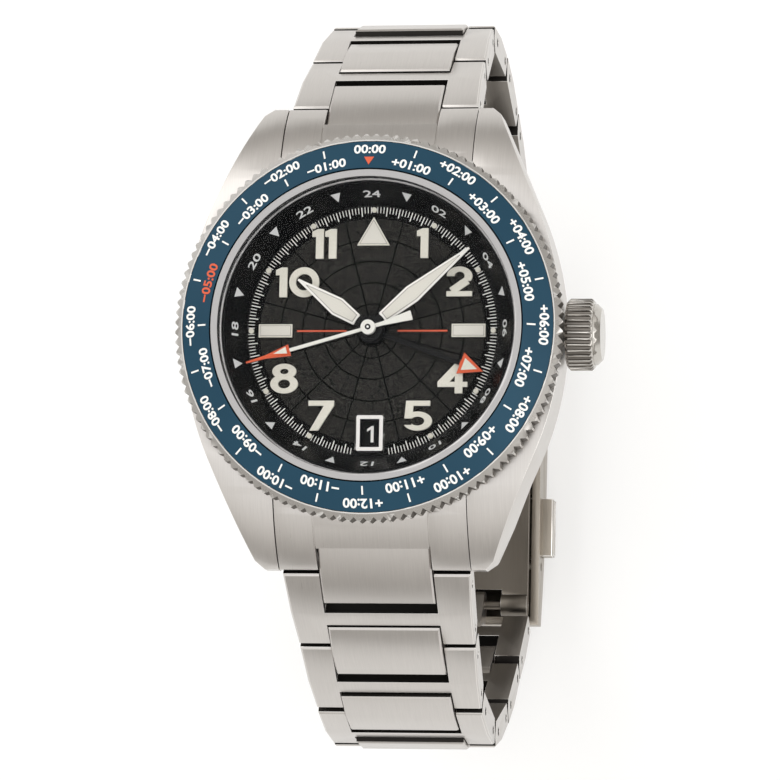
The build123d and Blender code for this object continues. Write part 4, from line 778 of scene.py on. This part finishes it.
OUTER_ROW, INNER_ROW = 18.25, 16.95
ZONE_FIGURES = (1.4, 0.035, 1.06)
ZONE_ARROW = (0.5, 0.45, -0.5)
HOME_ZONE = 19
DASH_HALF, DASH_REACH = 0.085, 0.46
white_marks, orange_marks = [], []
for zone in range(24):
    bearing = 15 * zone
    hours = zone if zone <= 12 else zone - 24
    text = "00:00" if hours == 0 else f"{hours:+03d}:00".replace("-", "−")
    row = OUTER_ROW if zone % 2 == 0 else INNER_ROW
    label = wrap(number(text, *ZONE_FIGURES), bearing, row, insert_height(row), INSERT_SLOPE)
    (orange_marks if zone == HOME_ZONE else white_marks).append(label)
    other = INNER_ROW if zone % 2 == 0 else OUTER_ROW
    if zone == 0:
        orange_marks.append(wrap(wedge(*ZONE_ARROW), bearing, other, insert_height(other), INSERT_SLOPE))
    else:
        dash = bar("dash", -DASH_HALF, DASH_HALF, -DASH_REACH, DASH_REACH, 0)
        white_marks.append(wrap(dash, bearing, other, insert_height(other), INSERT_SLOPE))
printed(join(white_marks, "zone_numbers"), white_ink, "bezel")
printed(join(orange_marks, "home_zone_marks"), orange_ink, "bezel")

RING_FOOT, RING_TOP = (12.98, 7.85), (14.8, 10.95)
RING_ROW = 13.95
RING_FIGURES = (1.45, 0.02, 1.25)
RING_ARROW = (0.5, 0.75, -0.6)
RING_SLOPE = atan2(RING_TOP[1] - RING_FOOT[1], RING_TOP[0] - RING_FOOT[0])
RING_LEVEL = RING_FOOT[1] + (RING_ROW - RING_FOOT[0]) * tan(RING_SLOPE) + INK
ring_marks = []
for hour in range(24):
    if hour % 2 == 0:
        piece = number("24" if hour == 0 else f"{hour:02d}", *RING_FIGURES)
    else:
        piece = wedge(*RING_ARROW)
    ring_marks.append(wrap(piece, 15 * hour, RING_ROW, RING_LEVEL, RING_SLOPE))
printed(join(ring_marks, "ring_numbers"), ring_ink, "root")

# A figure one with a flag, because the built-in face draws it as a bare bar.
FLAGGED_ONE = [(-0.02, -0.84), (0.28, -0.84), (0.28, 0.84), (0.06, 0.84), (-0.4, 0.52), (-0.4, 0.26),
               (-0.02, 0.48)]
DATE_FIGURES = (2.4, 0.035, 0.95)
DATE_PLACE = Vector((0, -10.6, 7.06)) * MM
DAYS = 31
date_marks = []
for day in range(DAYS):
    if day == 0:
        piece = flat_object("one", [(x, y, 0) for x, y in FLAGGED_ONE], [tuple(range(len(FLAGGED_ONE)))])
        raise_up(piece, INK)
    else:
        piece = number(str(day + 1), *DATE_FIGURES)
    turned = Matrix.Rotation(-radians(360 / DAYS) * day, 3, "Z")
    for vertex in piece.data.vertices:
        vertex.co = turned @ (vertex.co + DATE_PLACE)
    date_marks.append(piece)
printed(join(date_marks, "date_numbers"), white_ink, "date_disc")
print("insert marks:", len(white_marks) + len(orange_marks), "ring marks:", len(ring_marks))

# %% [markdown]
# The hands are flat steel, lacquered, with a tray of luminous paint. The CAD hand is the whole
# outline, black near the hub and white beyond, and the paint is a thin raised solid laid in it.
# The colour changes at a radius, so it is read from the distance to the dial's axis.

# %% Hands
BAND_REACH = 15


def banded(name, bands):
    """Colours by distance from the dial's axis: bands holds (from radius, colour code)."""
    material, tree, shader = new_material(name)
    coords = add_node(tree, "ShaderNodeTexCoord").outputs["Object"]
    flat = add_node(tree, "ShaderNodeVectorMath", {0: coords, 1: (1, 1, 0)}, operation="MULTIPLY").outputs[0]
    radius = add_node(tree, "ShaderNodeVectorMath", {0: flat}, operation="LENGTH").outputs["Value"]
    ramp = add_node(tree, "ShaderNodeValToRGB", {0: math(tree, "DIVIDE", radius, BAND_REACH * MM)})
    ramp.color_ramp.interpolation = "CONSTANT"
    ramp.color_ramp.elements.remove(ramp.color_ramp.elements[1])
    ramp.color_ramp.elements[0].position = 0
    ramp.color_ramp.elements[0].color = linear(bands[0][1])
    for start, code in bands[1:]:
        ramp.color_ramp.elements.new(start / BAND_REACH).color = linear(code)
    tree.links.new(ramp.outputs[0], shader.inputs["Base Color"])
    grit = add_node(tree, "ShaderNodeTexNoise", {"Vector": coords, "Scale": 5 / MM}).outputs["Fac"]
    tree.links.new(math(tree, "MULTIPLY_ADD", grit, 0.1, 0.25), shader.inputs["Roughness"])
    shader.inputs["Specular IOR Level"].default_value = 0.15
    return material


BLACK, WHITE, CREAM, ORANGE = "0C0C0D", "EFEDE8", "E4E3DC", "D8603F"
dress("hour_hand", banded("lacquered_hour_hand", [(0, BLACK), (1.75, WHITE)]))
dress("minute_hand", banded("lacquered_minute_hand", [(0, BLACK), (1.75, WHITE)]))
dress("seconds_hand", banded("lacquered_seconds_hand", [(0, CREAM), (8.4, ORANGE)]))
dress("gmt_hand", banded("lacquered_24_hour_hand", [(0, BLACK), (9.8, ORANGE)]))

HOUR_BEARING, MINUTE_BEARING, SECONDS_BEARING, WORLD_BEARING = 304.3, 50.7, 254.0, 110.3
SINK = 0.01
TRAY_RISE, PAINT_RISE, PIN_RISE = 0.02, 0.04, 0.06


def lay_in(name, outline, bearing, node, material, rise=PAINT_RISE):
    """A thin solid on top of a CAD node: drawn along +Y, turned clockwise, riding with the node."""
    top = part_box(node)[1].z / MM
    piece = flat_object(name, [(x, y, top - SINK) for x, y in outline], [tuple(range(len(outline)))])
    raise_up(piece, rise + SINK)
    edit(piece)
    bpy.ops.transform.rotate(value=radians(bearing), orient_axis="Z", center_override=(0, 0, 0))
    done()
    printed(piece, material, home[node])


def lance(root, root_half, belly, belly_half, tip, tip_half=0.03):
    """A hand's lance shape, widest at its belly; every size is in millimetres from the axis."""
    left = [(-root_half, root), (-belly_half, belly), (-tip_half, tip)]
    return left + [(-x, y) for x, y in reversed(left)]


def circle_points(radius, sides=24):
    return [(radius * cos(2 * pi * i / sides), radius * sin(2 * pi * i / sides)) for i in range(sides)]


# A thin grey line, the shadow of the tray's wall, parts the paint from the bright border.
for node, bearing, belly, belly_half, tip in (("hour_hand", HOUR_BEARING, 4.2, 0.78, 8.2),
                                              ("minute_hand", MINUTE_BEARING, 5.6, 0.75, 11.9)):
    name = node.replace("hand", "")
    tray = lance(1.97, 0.44, belly, belly_half, tip)
    paint = lance(2.04, 0.38, belly, belly_half - 0.07, tip - 0.3)
    lay_in(name + "tray", tray, bearing, node, tray_grey, TRAY_RISE)
    lay_in(name + "lume", paint, bearing, node, hand_lume)
SECONDS_ARROW = [(-0.36, 8.7), (0, 10.1), (0.36, 8.7)]
WORLD_ARROW = [(-0.66, 10.2), (0, 11.75), (0.66, 10.2)]
lay_in("seconds_lume", SECONDS_ARROW, SECONDS_BEARING, "seconds_hand", lume)
lay_in("world_hand_lume", WORLD_ARROW, WORLD_BEARING, "gmt_hand", lume)
lay_in("seconds_pin", circle_points(0.3), 0, "seconds_hand", hub_black)
lay_in("seconds_pin_tip", circle_points(0.13), 0, "seconds_hand", polish, PIN_RISE)
print("hands:", [n for n in nodes if n.endswith("_hand")])

# %% [markdown]
# The bars at 3 and 9 and the triangle at 12 are framed like the hands: a bright border, a thin grey
# line and the paint. Each outline is the marker's own, drawn in by a fraction of a millimetre.
# The two bars are alike, and their pieces are named the wrong way round: bearings run clockwise
# from 12, so the pieces named for 3 lie at 9 o'clock, and those named for 9 lie at 3.

# %% Framed markers
BAR_OUT, BAR_IN, BAR_HALF = 11.75, 8.27, 0.675
TRIANGLE_TOP, TRIANGLE_FOOT, TRIANGLE_HALF = 11.8, 8.85, 1.69
LINE_INSET, PAINT_INSET = 0.13, 0.18


def framed_bar(inset):
    return [(-BAR_HALF + inset, BAR_IN + inset), (-BAR_HALF + inset, BAR_OUT - inset),
            (BAR_HALF - inset, BAR_OUT - inset), (BAR_HALF - inset, BAR_IN + inset)]


def framed_triangle(inset):
    half = TRIANGLE_HALF - 1.7 * inset
    return [(-half, TRIANGLE_FOOT + inset), (0, TRIANGLE_TOP - 2.1 * inset), (half, TRIANGLE_FOOT + inset)]


for name, shape, bearing in (("bar_at_3", framed_bar, 270), ("bar_at_9", framed_bar, 90),
                             ("triangle_at_12", framed_triangle, 0)):
    lay_in(name + "_frame_line", shape(LINE_INSET), bearing, "hour_markers", tray_grey,
           TRAY_RISE)
    lay_in(name + "_lume", shape(PAINT_INSET), bearing, "hour_markers", hand_lume)
print("framed markers: two bars and the triangle")
